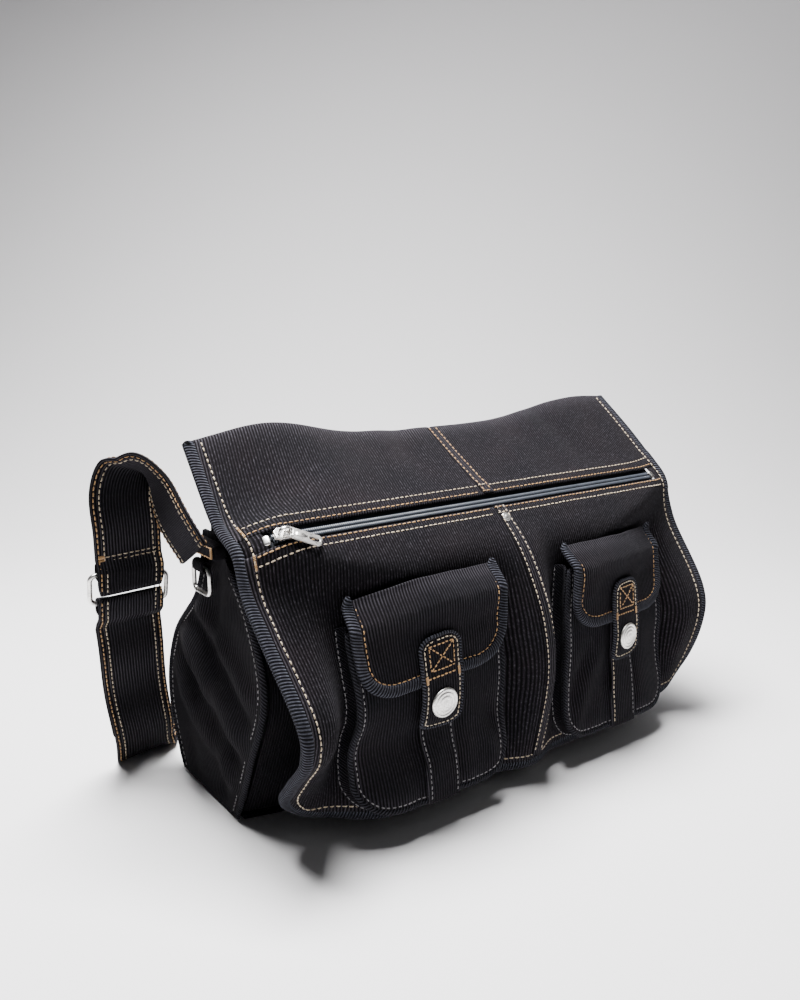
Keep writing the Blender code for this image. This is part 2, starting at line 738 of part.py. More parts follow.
UPPER_STRAP = (
    ((-202.6, -1.0, 184.0), (0.0, 0.90, -0.43)),
    ((-209.6, 10.0, 203.0), (0.0, 0.90, -0.43)),
    ((-212.7, 27.0, 222.0), (0.1, 0.90, -0.43)),
    ((-216.5, 42.0, 234.0), (0.44, 0.80, -0.45)),
    ((-222.0, 50.0, 234.0), (0.95, 0.3, -0.3)),
    ((-227.0, 50.5, 219.0), (1.0, 0.0, -0.15)),
    ((-225.5, 53.0, 195.0), (1.0, 0.0, -0.1)),
    ((-224.4, 56.0, 174.5), (1.0, 0.0, -0.1)),
)
MAIN_STRAP = (
    ((-222.1, 71.2, 125.3), (1.0, 0.0, -0.1)),
    ((-219.0, 77.0, 105.0), (1.0, 0.0, -0.1)),
    ((-214.0, 88.0, 66.0), (1.0, 0.0, -0.1)),
    ((-207.0, 96.0, 28.0), (1.0, 0.05, 0.0)),
    ((-202.0, 108.0, 5.5), (1.0, 0.12, 0.0)),
    ((-190.0, 130.0, 1.9), (0.85, 0.5, 0.0)),
    ((-160.0, 153.0, 1.9), (0.4, 0.9, 0.0)),
    ((-110.0, 163.0, 1.9), (0.05, 1.0, 0.0)),
    ((-40.0, 164.0, 1.9), (0.0, 1.0, 0.0)),
    ((40.0, 164.0, 1.9), (0.0, 1.0, 0.0)),
    ((110.0, 163.0, 1.9), (-0.05, 1.0, 0.0)),
    ((162.0, 151.0, 1.9), (-0.45, 0.9, 0.0)),
    ((194.0, 126.0, 2.2), (-0.9, 0.45, 0.0)),
    ((210.0, 101.0, 9.0), (-1.0, 0.15, 0.0)),
    ((219.0, 86.0, 45.0), (-1.0, 0.0, 0.1)),
    ((222.0, 72.0, 92.0), (-0.98, -0.2, 0.1)),
    ((218.5, 52.0, 134.0), (-0.4, -0.8, -0.4)),
    ((210.0, 23.0, 165.0), (0.0, -0.75, -0.65)),
    ((202.6, 0.0, 190.0), (0.0, -0.75, -0.65)),
)
TAIL_STEPS = 13           # the doubled end covers this many steps of the main strap
RING_MIDDLE = Vector((-223.4, 62.8, 150.6))
RING_WIDE = Vector((1.0, 0.0, -0.1)).normalized()
RING_DOWN = Vector((0.05, 0.31, -0.95)).normalized()
RING_BARS = 11.3          # the ring's two long bars lie this far from its middle


def strap_ring(metal):
    """Rectangular wire ring that joins the two lengths of the strap."""
    loop = rounded_loop(53.0, 2 * RING_BARS, 4.0)
    points = [RING_MIDDLE + RING_WIDE * u + RING_DOWN * v for u, v in loop]
    wire("strap_ring", points, 1.7, metal, cyclic=True)


def strap_fold(name, bar, mat):
    """End of the webbing folded round one bar of the ring."""
    outward = RING_WIDE.cross(RING_DOWN)
    away = RING_DOWN * (1 if bar > 0 else -1)
    middle = RING_MIDDLE + RING_DOWN * bar
    path = []
    for k in range(12):
        a = math.radians(30 * k)
        stretch = 5.0 if math.sin(a) > 0.1 else 0.0
        path.append((3.2 * math.cos(a), 3.2 * math.sin(a) + stretch))
    rows = []
    for across_strap in (-22.0, 0.0, 22.0):
        rows.append([middle + RING_WIDE * across_strap + outward * u + away * v for u, v in path])
    sheet(name, rows, 1.8, mat, closed=True)


def build_strap(cord, metal):
    strap_band("strap_upper", UPPER_STRAP, cord)
    strap_ring(metal)
    strap_fold("strap_fold_upper", -RING_BARS, cord)
    strap_fold("strap_fold_lower", RING_BARS, cord)
    strap_band("strap_main", MAIN_STRAP, cord)
    strap_band("strap_tail", MAIN_STRAP, cord, 2.2, -3.2, TAIL_STEPS)


# ------------------------------------------------------------------ assembly
clear_scene()
BAG = new_collection("messenger_bag")
CUTTERS = new_collection("cutters")

CORD = material("black_corduroy", (0.018, 0.016, 0.019), 0.9)
LINING = material("black_lining", (0.02, 0.02, 0.022), 0.8)
BOARD = material("stiffener_board", (0.05, 0.045, 0.04), 0.7)
TAPE = material("zip_tape", (0.02, 0.022, 0.027), 0.8)
COIL = material("zip_coil_nylon", (0.06, 0.075, 0.1), 0.4)
METAL = material("nickel_plate", (0.75, 0.74, 0.72), 0.25, 1.0)

build_body(CORD, LINING, BOARD)
build_flap(CORD, LINING, TAPE, COIL, METAL)
for pocket_side in ("left", "right"):
    build_pocket(pocket_side, CORD, METAL)
for bag_side, direction in (("left", -1), ("right", 1)):
    build_side(bag_side, direction, CORD, METAL)
build_strap(CORD, METAL)
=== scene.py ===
"""Corduroy messenger bag: the looks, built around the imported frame.

The helpers work in millimetres and turn them into metres when a mesh is made.
Origin, axes and the cloth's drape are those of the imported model.
"""
import math
import random

import bmesh
import bpy
from mathutils import Matrix, Vector, noise


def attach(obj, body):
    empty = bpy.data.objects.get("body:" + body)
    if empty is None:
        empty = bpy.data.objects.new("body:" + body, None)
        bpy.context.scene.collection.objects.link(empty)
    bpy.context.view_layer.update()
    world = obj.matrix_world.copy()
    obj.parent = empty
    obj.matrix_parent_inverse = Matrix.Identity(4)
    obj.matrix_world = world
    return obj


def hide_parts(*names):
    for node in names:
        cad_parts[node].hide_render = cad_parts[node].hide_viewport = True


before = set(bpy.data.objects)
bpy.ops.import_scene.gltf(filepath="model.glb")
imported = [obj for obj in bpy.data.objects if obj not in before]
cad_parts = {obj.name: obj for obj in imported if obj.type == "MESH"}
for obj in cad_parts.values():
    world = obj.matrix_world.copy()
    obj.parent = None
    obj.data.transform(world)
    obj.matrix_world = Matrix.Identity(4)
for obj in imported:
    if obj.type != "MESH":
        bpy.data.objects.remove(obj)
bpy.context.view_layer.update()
MM = 0.001
TAU = 2 * math.pi
RNG = random.Random(11)

# ---- the drape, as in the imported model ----
PANEL_HALF = 184.0
GUSSET_X = 187.4
FLAP_HALF = 200.0
FLAP_LENGTH = 298.0
FLAP_CORNER = 34.0
FLAP_LEAN = 7.0
HINGE = (17.5, 245.0)
ZIP_S = 87.0
POCKET_X = {"left": -86.0, "right": 95.0}
POCKET_TOP = 133.0
POCKET_LENGTH = 157.0
POCKET_HALF = 60.0
POCKET_DEPTH = 10.0
POCKET_HOLLOW = 26.0
FACE_SINK = 0.9
POCKET_CORNER = 22.0
LID_LENGTH = 70.0
LID_HALF = 58.5
TAB_HALF = 15.5
TAB_FROM = 36.0
TAB_TO = 103.0
TAB_HEIGHT = POCKET_DEPTH + 9.6
SNAP_V = 82.0
FLOOR_GAP = 0.3
FLAP_AT = (0.0, 87.0, 140.0, 212.0, 298.0)
FLAP_LEFT = ((14, 251), (-43, 189), (-79, 149), (-112, 92), (-60, 22))
FLAP_MIDDLE = ((13, 249), (-60, 203), (-95, 165), (-114, 97), (-101, 14))
FLAP_RIGHT = ((15, 262), (-54, 204), (-72, 160), (-104, 96), (-82, 23))
FRONT_AT = (0.0, 0.25, 0.5, 0.75, 1.0)
FRONT_LEFT = ((-19, 178), (-46, 146), (-60, 102), (-40, 50), (-17, 5))
FRONT_MIDDLE = ((-33, 191), (-60, 155), (-67, 108), (-63, 58), (-53, 5))
FRONT_RIGHT = ((-29, 194), (-49, 156), (-60, 110), (-60, 58), (-51, 5))
BACK_AT = (0.0, 0.2, 0.4, 0.6, 0.8, 1.0)
BACK_LEFT = ((14, 242), (14, 190), (27, 150), (68, 108), (83, 58), (66, 5))
BACK_MIDDLE = ((14, 242), (17, 196), (40, 150), (70, 108), (82, 58), (66, 5))


def smooth_step(a, b, x):
    t = min(max((x - a) / (b - a), 0.0), 1.0)
    return t * t * (3 - 2 * t)


def bump(x, centre, width):
    return math.exp(-((x - centre) / width) ** 2)


def steps(a, b, count):
    return [a + (b - a) * i / count for i in range(count + 1)]


def curve_through(knots, values, at):
    last = len(knots) - 1
    i = 0
    while i < last - 1 and at > knots[i + 1]:
        i += 1

    def slope(k):
        lo = max(k - 1, 0)
        hi = min(k + 1, last)
        return (values[hi] - values[lo]) / (knots[hi] - knots[lo])

    step = knots[i + 1] - knots[i]
    t = (at - knots[i]) / step
    a = values[i] * (2 * t ** 3 - 3 * t ** 2 + 1)
    b = slope(i) * step * (t ** 3 - 2 * t ** 2 + t)
    c = values[i + 1] * (-2 * t ** 3 + 3 * t ** 2)
    d = slope(i + 1) * step * (t ** 3 - t ** 2)
    return a + b + c + d


CACHE = {}


def stations(tag, knots, profiles, at):
    """The three stations' y, then z, at one place, remembered."""
    key = (tag, round(at, 3))
    if key not in CACHE:
        CACHE[key] = [[curve_through(knots, [p[axis] for p in profile], at)
                       for profile in profiles] for axis in (0, 1)]
    return CACHE[key]


def drape_across(left, middle, right, u, s):
    zip_band = bump(s, ZIP_S, 45)
    low = smooth_step(215, 290, s)
    start = 0.2 + 0.665 * zip_band + 0.4 * low
    end = 0.92 + 0.14 * zip_band + 0.08 * low
    curl = smooth_step(start, end, abs(u))
    side = right if u > 0 else left
    return middle + (side - middle) * curl


def across(left, middle, right, u):
    return middle + (right - left) / 2 * u + ((left + right) / 2 - middle) * u * u


def soft(x, y, z=0.0):
    return noise.noise(Vector((x, y, z)))


def ridge_wave(x):
    return 13 * bump(x, -140, 50) + 5 * bump(x, 140, 55)


def flap_lean(s):
    return FLAP_LEAN * smooth_step(100, 215, s)


def hollow_depth(s):
    return POCKET_HOLLOW * smooth_step(105, 200, s) * (1 - 0.7 * smooth_step(225, 300, s))


def pocket_hollow(x, s):
    well = 0.0
    for cx in POCKET_X.values():
        well += 1 - smooth_step(60, 88, abs(x - cx))
    return well * hollow_depth(s)


def flap_folds(x, s):
    """How far the cloth's own soft folds lift it, along y and z alike."""
    quiet = 1 - 0.8 * bump(s, ZIP_S, 22)
    behind = max(bump(x, cx, 55) for cx in POCKET_X.values()) * smooth_step(120, 140, s)
    quiet *= 1 - 0.75 * behind
    lift = 2.2 * soft(x / 62, s / 80, 1.7) + 1.0 * soft(x / 26, s / 44, 5.1)
    yoke = 1 - smooth_step(20, 84, s)
    lift += yoke * (2.4 * bump(x + 0.25 * s, -52, 13) - 2.6 * bump(x + 0.25 * s, -28, 11))
    lift += yoke * (1.8 * bump(x - 0.2 * s, 92, 12) - 1.6 * bump(x - 0.2 * s, 112, 12))
    low = smooth_step(190, 250, s)
    lift += low * (2.6 * bump(s + 0.5 * x, 140, 9) - 2.0 * bump(s + 0.5 * x, 158, 8)) * (x < -60)
    return lift * quiet


def flap_middle_surface(x, s, hollow=None):
    u = (x - flap_lean(s)) / FLAP_HALF
    at = max(s, 0.0)
    both = stations("flap", FLAP_AT, (FLAP_LEFT, FLAP_MIDDLE, FLAP_RIGHT), at)
    y, z = [drape_across(*values, u, at) for values in both]
    z += ridge_wave(x) * (1 - smooth_step(0, 70, s))
    y += pocket_hollow(x, s) if hollow is None else hollow
    folds = flap_folds(x, at)
    y -= 0.8 * folds
    z += 0.45 * folds
    if s < 0:
        t = -s / 14.0
        z = z + (HINGE[1] + 0.4 - z) * t
        y = y + (15.8 - y) * t
    return Vector((x, y, z))


def flap_normal(x, s):
    a = flap_middle_surface(x, s + 2) - flap_middle_surface(x, s - 2)
    b = flap_middle_surface(x + 2, s) - flap_middle_surface(x - 2, s)
    return b.cross(a).normalized() * -1


def on_flap(x, s, height=0.0):
    return flap_middle_surface(x, s) + flap_normal(x, s) * height


def flap_reach(s, inset=0.0):
    reach = FLAP_HALF - inset - 3 * smooth_step(180, 240, s)
    radius = FLAP_CORNER - inset
    into = s - (FLAP_LENGTH - FLAP_CORNER)
    if into > 0:
        into = min(into, radius)
        reach -= radius - math.sqrt(max(radius ** 2 - into ** 2, 0.0))
    return reach


def pocket_bed(cx, u, v, height):
    return flap_middle_surface(cx + u, POCKET_TOP + v) + face_normal(cx, v) * height


def face_normal(cx, v):
    key = ("normal", cx, round(v, 1))
    if key not in CACHE:
        CACHE[key] = flap_normal(cx, POCKET_TOP + min(max(v, 15.0), 130.0))
    return CACHE[key]


def pocket_face(cx, u, v, height):
    s = POCKET_TOP + v
    sink = FACE_SINK * hollow_depth(s)
    return flap_middle_surface(cx + u, s, sink) + face_normal(cx, v) * height


def front_folds(cx, u, v):
    """Creases of a pocket's front, mostly low down beside the strip."""
    side = 1 if cx < 0 else -1
    low = smooth_step(60, 120, v)
    edge = 1 - smooth_step(48, 59, abs(u))
    lift = 1.5 * soft(u / 22 + cx, v / 34, 2.2) + 1.8 * edge * (1 - (u / 60) ** 2)
    lift += low * 2.2 * bump(u - side * (v - 100) * 0.45, side * 30, 8)
    lift -= low * 2.6 * bump(u - side * (v - 100) * 0.45, side * 43, 7)
    lift -= 1.8 * bump(u, 17, 5) * low + 1.4 * bump(u, -17, 5) * low
    return lift * edge


def lid_height(v):
    return 2.6 + (POCKET_DEPTH + 2.4) * smooth_step(0, 16, v)


def lid_folds(cx, u, v):
    edge = 1 - smooth_step(46, 57, abs(u))
    lift = 0.9 * soft(u / 20 + cx, v / 18, 8.3) + 0.5 * soft(u / 9 + cx, v / 9, 3.3)
    lift += 1.2 * bump(v, 22, 9) * edge - 0.8 * bump(v, 38, 8) * edge * bump(u, 34, 18)
    return lift


def wall_point(tag, knots, profiles, x, t):
    y, z = [across(*values, x / PANEL_HALF) for values in stations(tag, knots, profiles, t)]
    return Vector((x, y, z))


def front_point(x, t):
    return wall_point("front", FRONT_AT, (FRONT_LEFT, FRONT_MIDDLE, FRONT_RIGHT), x, t)


def back_point(x, t):
    return wall_point("back", BACK_AT, (BACK_LEFT, BACK_MIDDLE, BACK_LEFT), x, t)


def y_at_height(point, x, z):
    key = (point.__name__, round(x, 2), round(z, 2))
    if key not in CACHE:
        lo, hi = 0.0, 1.0
        for _ in range(20):
            mid = (lo + hi) / 2
            if point(x, mid).z > z:
                lo = mid
            else:
                hi = mid
        CACHE[key] = point(x, lo).y
    return CACHE[key]


# ------------------------------------------------------------- mesh helpers
def mark_wear_and_highlight(obj, amount):
    """Set each point's share of rubbed pile and painted highlight: amount(u, v) from its place on
    the cloth.
    """
    mesh = obj.data
    layer = mesh.attributes.new("wear_and_highlight", "FLOAT", "POINT")
    uv = mesh.uv_layers["cloth"].data
    values = [0.0] * len(mesh.vertices)
    for loop in mesh.loops:
        values[loop.vertex_index] = amount(*uv[loop.index].uv)
    layer.data.foreach_set("value", values)


def register(obj, body, look, node=None, wear_and_highlight=None):
    """Give a piece its look and body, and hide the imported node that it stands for."""
    if wear_and_highlight:
        mark_wear_and_highlight(obj, wear_and_highlight)
    mat, slot = look
    obj.data.materials.append(mat)
    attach(obj, body)
    if node:
        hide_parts(node)
    return obj


def linked(name, data):
    obj = bpy.data.objects.new(name, data)
    bpy.context.scene.collection.objects.link(obj)
    return obj


def lattice(count, wide):
    """Quads between rows of points."""
    return [(a, a + 1, a + wide + 1, a + wide)
            for r in range(count - 1) for a in range(r * wide, (r + 1) * wide - 1)]


def belts(count, around, base=0):
    """Quads between closed rings of points."""
    return [(a + k, a + (k + 1) % around, a + around + (k + 1) % around, a + around + k)
            for a in range(base, base + (count - 1) * around, around) for k in range(around)]


def mesh_from(name, verts, faces, uvs, weld=False):
    """Verts and uvs in millimetres, one pair of uvs for each vertex."""
    mesh = bpy.data.meshes.new(name)
    mesh.from_pydata([tuple(c * MM for c in v) for v in verts], [], faces)
    layer = mesh.uv_layers.new(name="cloth")
    for loop in mesh.loops:
        layer.data[loop.index].uv = uvs[loop.vertex_index]
    bm = bmesh.new()
    bm.from_mesh(mesh)
    if weld:
        bmesh.ops.remove_doubles(bm, verts=bm.verts, dist=1e-6)
    bmesh.ops.recalc_face_normals(bm, faces=bm.faces)
    bm.to_mesh(mesh)
    bm.free()
    mesh.shade_smooth()
    return linked(name, mesh)


def grid(name, rows, uvs, thickness, closed=False):
    """A cloth panel from rows of points, thickened to both sides and rounded off."""
    obj = mesh_from(name, [p for row in rows for p in row], lattice(len(rows), len(rows[0])),
                    [p for row in uvs for p in row], weld=closed)
    solid = obj.modifiers.new("thickness", "SOLIDIFY")
    solid.thickness = thickness * MM
    solid.offset = 0.0
    solid.use_even_offset = True
    obj.modifiers.new("soften", "SUBSURF").levels = 1
    obj.modifiers["soften"].render_levels = 1
    return obj


def panel(name, values, line_at, spot, thickness, along=1.0):
    """A grid whose rows are lines of cloth: line_at(v) places them, spot(u, v) drapes them."""
    rows = []
    uvs = []
    for v in values:
        line = line_at(v)
        rows.append([spot(u, v) for u in line])
        uvs.append([(u, v * along) for u in line])
    return grid(name, rows, uvs, thickness)


def pill(width, thick, count=14, power=3.2):
    """A soft rounded rectangle as (across, up) points."""
    points = []
    for k in range(count):
        a = TAU * k / count
        c, s = math.cos(a), math.sin(a)
        points.append((math.copysign(abs(c) ** (2 / power), c) * width / 2,
                       math.copysign(abs(s) ** (2 / power), s) * thick / 2))
    return points


def smooth_ends(count, ends, least):
    """Scales that round a swept piece's two ends."""
    scales = [1.0] * count
    for i in range(min(ends, count // 2)):
        value = least + (1 - least) * math.sin(math.pi / 2 * i / ends)
        scales[i] = value
        scales[count - 1 - i] = value
    return scales


def sweep(name, path, ups, profile, cyclic=False, ends=None, floor=False, rib=None):
    """Carry a profile along a path; ups give its upper side; ends are capped."""
    n = len(path)
    k = len(profile)
    scales = smooth_ends(n, *ends) if ends else [1.0] * n
    around = [0.0]
    for i in range(k):
        a = profile[i]
        b = profile[(i + 1) % k]
        around.append(around[-1] + math.hypot(b[0] - a[0], b[1] - a[1]))
    along = 0.0
    verts = []
    uvs = []
    rings = n + 1 if cyclic else n
    for i in range(rings):
        j = i % n
        if cyclic:
            ahead = path[(j + 1) % n] - path[j - 1]
        else:
            ahead = path[min(j + 1, n - 1)] - path[max(j - 1, 0)]
        ahead.normalize()
        up = ups[j] - ahead * ups[j].dot(ahead)
        up.normalize()
        wide = ahead.cross(up)
        if i:
            along += (path[j] - path[(i - 1) % n]).length
        for m in range(k + 1):
            a, b = profile[m % k]
            grow = scales[j] * (rib(along) if rib else 1.0)
            point = path[j] + wide * a * grow + up * b * grow
            if floor:
                point.z = max(point.z, FLOOR_GAP)
            verts.append(point)
            uvs.append((around[m], along))
    w = k + 1
    faces = lattice(rings, w)
    if not cyclic:
        for ring, end in ((0, 0), (rings - 1, n - 1)):
            centre = len(verts)
            verts.append(path[end].copy())
            uvs.append((0.0, 0.0))
            faces += [(centre, ring * w + m, ring * w + m + 1) for m in range(k)]
    return mesh_from(name, verts, faces, uvs, weld=True)


def edging(name, line, shape, body, look, wear_and_highlight, node=None, **how):
    """A swept band of cloth; line is its path and upper sides, shape its pill."""
    return register(sweep(name, *line, pill(*shape), **how), body, look, node, wear_and_highlight)


def resample(path, ups, step):
    """Points and up directions at even spacing along a polyline."""
    out, out_up = [path[0].copy()], [ups[0].copy()]
    need = step
    for i in range(len(path) - 1):
        a, b = path[i], path[i + 1]
        size = (b - a).length
        while size > 1e-9 and need <= size:
            t = need / size
            out.append(a.lerp(b, t))
            out_up.append(ups[i].lerp(ups[i + 1], t))
            need += step
        need -= size
    return out, out_up


STITCH_SIDES = 6
STITCH_SHAPE = ((0.0, 0.45, -0.8), (0.14, 0.9, -0.1), (0.5, 1.0, 0.25), (0.86, 0.9, -0.1),
                (1.0, 0.45, -0.8))     # share of the length, scale, lift


class Threads:
    """Collects stitches; each is a short twisted capsule bedded in the cloth."""

    def __init__(self):
        self.verts = []
        self.faces = []
        self.uvs = []

    def stitch(self, a, b, up, radius):
        ahead = (b - a).normalized()
        up = (up - ahead * up.dot(ahead)).normalized()
        wide = ahead.cross(up)
        base = len(self.verts)
        for t, scale, lift in STITCH_SHAPE:
            middle = a.lerp(b, t) + up * radius * lift
            for k in range(STITCH_SIDES):
                ang = TAU * k / STITCH_SIDES
                self.verts.append(middle + wide * math.cos(ang) * radius * scale
                                  + up * math.sin(ang) * radius * scale * 0.8)
                self.uvs.append((k * radius, (a - b).length * t))
        last = base + (len(STITCH_SHAPE) - 1) * STITCH_SIDES
        self.faces += belts(len(STITCH_SHAPE), STITCH_SIDES, base)
        self.faces.append(tuple(base + k for k in reversed(range(STITCH_SIDES))))
        self.faces.append(tuple(last + k for k in range(STITCH_SIDES)))

    def run(self, path, ups, length, gap, radius):
        """A row of stitches along a path."""
        fine, fine_up = resample(path, ups, 0.5)
        pitch = length + gap
        total = 0.5 * (len(fine) - 1)
        at = gap / 2
        while at + length < total:
            i = int(at / 0.5)
            j = min(int((at + length) / 0.5), len(fine) - 1)
            up = fine_up[i]
            ahead = (fine[j] - fine[i]).normalized()
            side = ahead.cross(up) * RNG.uniform(-0.1, 0.1)
            twist = ahead.cross(up) * RNG.uniform(-0.12, 0.12)
            self.stitch(fine[i] + side + twist, fine[j] + side - twist, up, radius)
            at += pitch * RNG.uniform(0.96, 1.04)

    def bar(self, a, b, up, width, count):
        """A bartack: short stitches packed side by side across the line a to b."""
        ahead = (b - a).normalized()
        reach = ahead.cross(up).normalized() * width / 2 + ahead * 0.35
        for i in range(count):
            middle = a.lerp(b, (i + 0.5) / count)
            self.stitch(middle - reach, middle + reach, up, 0.45)


THREADS = {}


def threads(body, colour):
    return THREADS.setdefault((body, colour), Threads())


# ---------------------------------------------------------------- materials
class Shader:
    """A material, with short names for building its node tree."""

    def __init__(self, name):
        self.mat = bpy.data.materials.new(name)
        self.mat.use_nodes = True
        self.tree = self.mat.node_tree

    def add(self, kind, inputs=None, **settings):
        node = self.tree.nodes.new(kind)
        for key, value in settings.items():
            setattr(node, key, value)
        for key, value in (inputs or {}).items():
            self.feed(node.inputs[key], value)
        return node

    def feed(self, socket, value):
        """Link a socket to another, or set it to a plain value."""
        if isinstance(value, bpy.types.NodeSocket):
            self.tree.links.new(value, socket)
        else:
            socket.default_value = value

    def math(self, operation, a, b=0.0, clamp=False):
        return self.add("ShaderNodeMath", {0: a, 1: b}, operation=operation,
                        use_clamp=clamp).outputs[0]

    def times(self, a, b, clamp=False):
        return self.math("MULTIPLY", a, b, clamp)

    def wave(self, value, pitch):
        return self.math("SINE", self.times(value, TAU / pitch))

    def noise(self, vector, scale, detail=3.0, rough=0.55):
        return self.add("ShaderNodeTexNoise", {"Scale": scale, "Detail": detail,
                        "Roughness": rough, "Vector": vector}).outputs["Fac"]

    def spread(self, value, low, high, to_low=0.0, to_high=1.0):
        return self.add("ShaderNodeMapRange", {"Value": value, "From Min": low, "From Max": high,
                        "To Min": to_low, "To Max": to_high}).outputs["Result"]

    def mix(self, factor, a, b, blend="MIX"):
        a, b = [(*c, 1.0) if isinstance(c, tuple) else c for c in (a, b)]
        return self.add("ShaderNodeMix", {0: factor, 6: a, 7: b}, data_type="RGBA",
                        blend_type=blend).outputs[2]

    def placed(self, vector, scale=(1, 1, 1), turn=0.0):
        return self.add("ShaderNodeMapping", {"Scale": scale, "Vector": vector,
                        "Rotation": (0, 0, math.radians(turn))}).outputs["Vector"]

    def cloth(self):
        """The cloth's own coordinates, in millimetres."""
        return self.add("ShaderNodeUVMap", uv_map="cloth").outputs["UV"]

    def solid(self):
        return self.add("ShaderNodeTexCoord").outputs["Object"]

    def split(self, vector):
        return self.add("ShaderNodeSeparateXYZ", {0: vector}).outputs[:2]

    def done(self, slot, colour, relief, **values):
        """Link colour and relief, set the other values, and give the look."""
        height, strength, distance = relief
        normal = self.add("ShaderNodeBump", {"Strength": strength, "Distance": distance,
                          "Height": height}).outputs["Normal"]
        values.update({"Base Color": colour, "Normal": normal})
        for key, value in values.items():
            self.feed(self.tree.nodes["Principled BSDF"].inputs[key.replace("_", " ")], value)
        return self.mat, slot


VALLEY_SHADE = (0.0008, 0.0007, 0.001)     # painted shade between the wales


def corduroy(name, turn=0.0, pitch=2.0, high=(0.0135, 0.0113, 0.0142),
             worn_and_highlight=(0.11, 0.102, 0.12), wear_and_highlight=0.62, strength=0.95):
    """Fine-wale cord: pile ribs with painted shade between them, light flecks on the rib tops that
    are partly threadbare pile and partly painted highlight, and slow tone changes.
    """
    g = Shader(name)
    place = g.placed(g.cloth(), turn=turn)
    wander = g.noise(g.placed(place, (0.05, 0.02, 1.0)), 1.0, 2.0)
    moved = g.math("ADD", g.split(place)[0], g.times(wander, pitch * 0.9))
    wale = g.math("POWER", g.spread(g.wave(moved, pitch), -1.0, 1.0), 1.5)
    pile = g.noise(g.placed(place, (1.3, 0.28, 1.0)), 1.0, 3.0, 0.65)
    fleck = g.spread(g.noise(g.placed(place, (0.9, 0.45, 1.0)), 1.0, 4.0, 0.72), 0.5, 0.7)
    patch = g.spread(g.noise(place, 0.022, 3.0), 0.35, 0.68)
    ribs = g.times(wale, g.spread(pile, 0.25, 0.75, 0.55, 1.1))
    shade = g.times(ribs, g.spread(patch, 0, 1, 0.72, 1.15), clamp=True)
    tint = g.mix(patch, (0.92, 0.96, 1.06), (1.12, 0.98, 0.98))
    # The hollows between the wales get painted shade; the ridge colour high is the cloth's own
    # colour with some painted highlight.
    tinted = g.mix(1.0, g.mix(shade, VALLEY_SHADE, high), tint, "MULTIPLY")
    # The light worn colour goes on the rib tops only: partly threadbare pile, partly painted
    # highlight.
    rub_and_highlight = g.add("ShaderNodeAttribute", attribute_name="wear_and_highlight").outputs["Fac"]
    amount = g.math("ADD", g.times(fleck, wear_and_highlight), g.times(rub_and_highlight, 0.75))
    height = g.math("ADD", wale, g.times(pile, 0.55))
    return g.done("corduroy", g.mix(g.times(amount, ribs, clamp=True), tinted, worn_and_highlight),
                  (height, strength, 0.0006), Roughness=0.92, Specular_IOR_Level=0.08,
                  Sheen_Weight=0.012, Sheen_Roughness=0.45, Sheen_Tint=(0.78, 0.74, 0.82, 1.0))


def woven(name, slot, dark, light, rough=0.75):
    """Plain weave for tape and lining."""
    g = Shader(name)
    uv = g.cloth()
    warp, weft = [g.wave(part, 0.7) for part in g.split(uv)]
    cell = g.spread(g.times(warp, weft), -1.0, 1.0)
    shade = g.times(cell, g.spread(g.noise(uv, 0.04, 4.0), 0.3, 0.7, 0.6, 1.1), clamp=True)
    return g.done(slot, g.mix(shade, dark, light), (cell, 0.4, 0.0003), Roughness=rough,
                  Specular_IOR_Level=0.3, Sheen_Weight=0.08)


def thread_material(name, dark, light):
    g = Shader(name)
    slant = g.math("ADD", *g.split(g.cloth()))
    ply = g.spread(g.wave(slant, 0.75), -1.0, 1.0)
    soil = g.spread(g.noise(g.solid(), 70.0, 3.0), 0.3, 0.7)
    return g.done("corduroy", g.mix(g.times(ply, soil), dark, light), (ply, 0.5, 0.0002),
                  Roughness=0.6, Sheen_Weight=0.2)


def metal(name, colour, low, high, scale=260.0):
    """Plated metal with a handled, slightly cloudy surface."""
    g = Shader(name)
    where = g.solid()
    cloud = g.noise(where, scale, 4.0, 0.6)
    scratch = g.noise(g.placed(where, (5000, 300, 900)), 1.0, 2.0)
    dull = tuple(c * 0.55 for c in colour)
    rough = g.math("ADD", g.spread(cloud, 0.3, 0.7, low, high), g.times(scratch, 0.06))
    return g.done("nickel", g.mix(g.spread(cloud, 0.45, 0.75), colour, dull),
                  (g.math("ADD", cloud, scratch), 0.1, 0.0001), Metallic=1.0, Roughness=rough)


def coil_material(pitch):
    g = Shader("zip_coil_nylon")
    uv = g.cloth()
    turn = g.spread(g.wave(g.split(uv)[1], pitch), -1.0, 1.0)
    shade = g.times(turn, g.spread(g.noise(uv, 0.3, 4.0), 0.3, 0.7, 0.6, 1.1), clamp=True)
    return g.done("zip_coil", g.mix(shade, (0.01, 0.012, 0.017), (0.052, 0.06, 0.076)),
                  (turn, 0.5, 0.0003), Roughness=0.38)


def fibrous(name, slot, grain, dark, light, strength, **values):
    """Board or paper: one fine noise in colour and relief."""
    g = Shader(name)
    fibre = g.noise(g.solid(), 900.0, *grain)
    return g.done(slot, g.mix(fibre, dark, light), (fibre, strength, 0.0002), **values)


YOKE_CORD = corduroy("corduroy_yoke", turn=-6.0)
FLAP_CORD = corduroy("corduroy_flap")
POCKET_CORD = corduroy("corduroy_pocket", turn=2.0, high=(0.0135, 0.0122, 0.0155), wear_and_highlight=0.22)
BODY_CORD = corduroy("corduroy_body", high=(0.0105, 0.0095, 0.012), wear_and_highlight=0.15)
STRAP_CORD = corduroy("corduroy_strap", high=(0.0125, 0.0112, 0.014), wear_and_highlight=0.2)
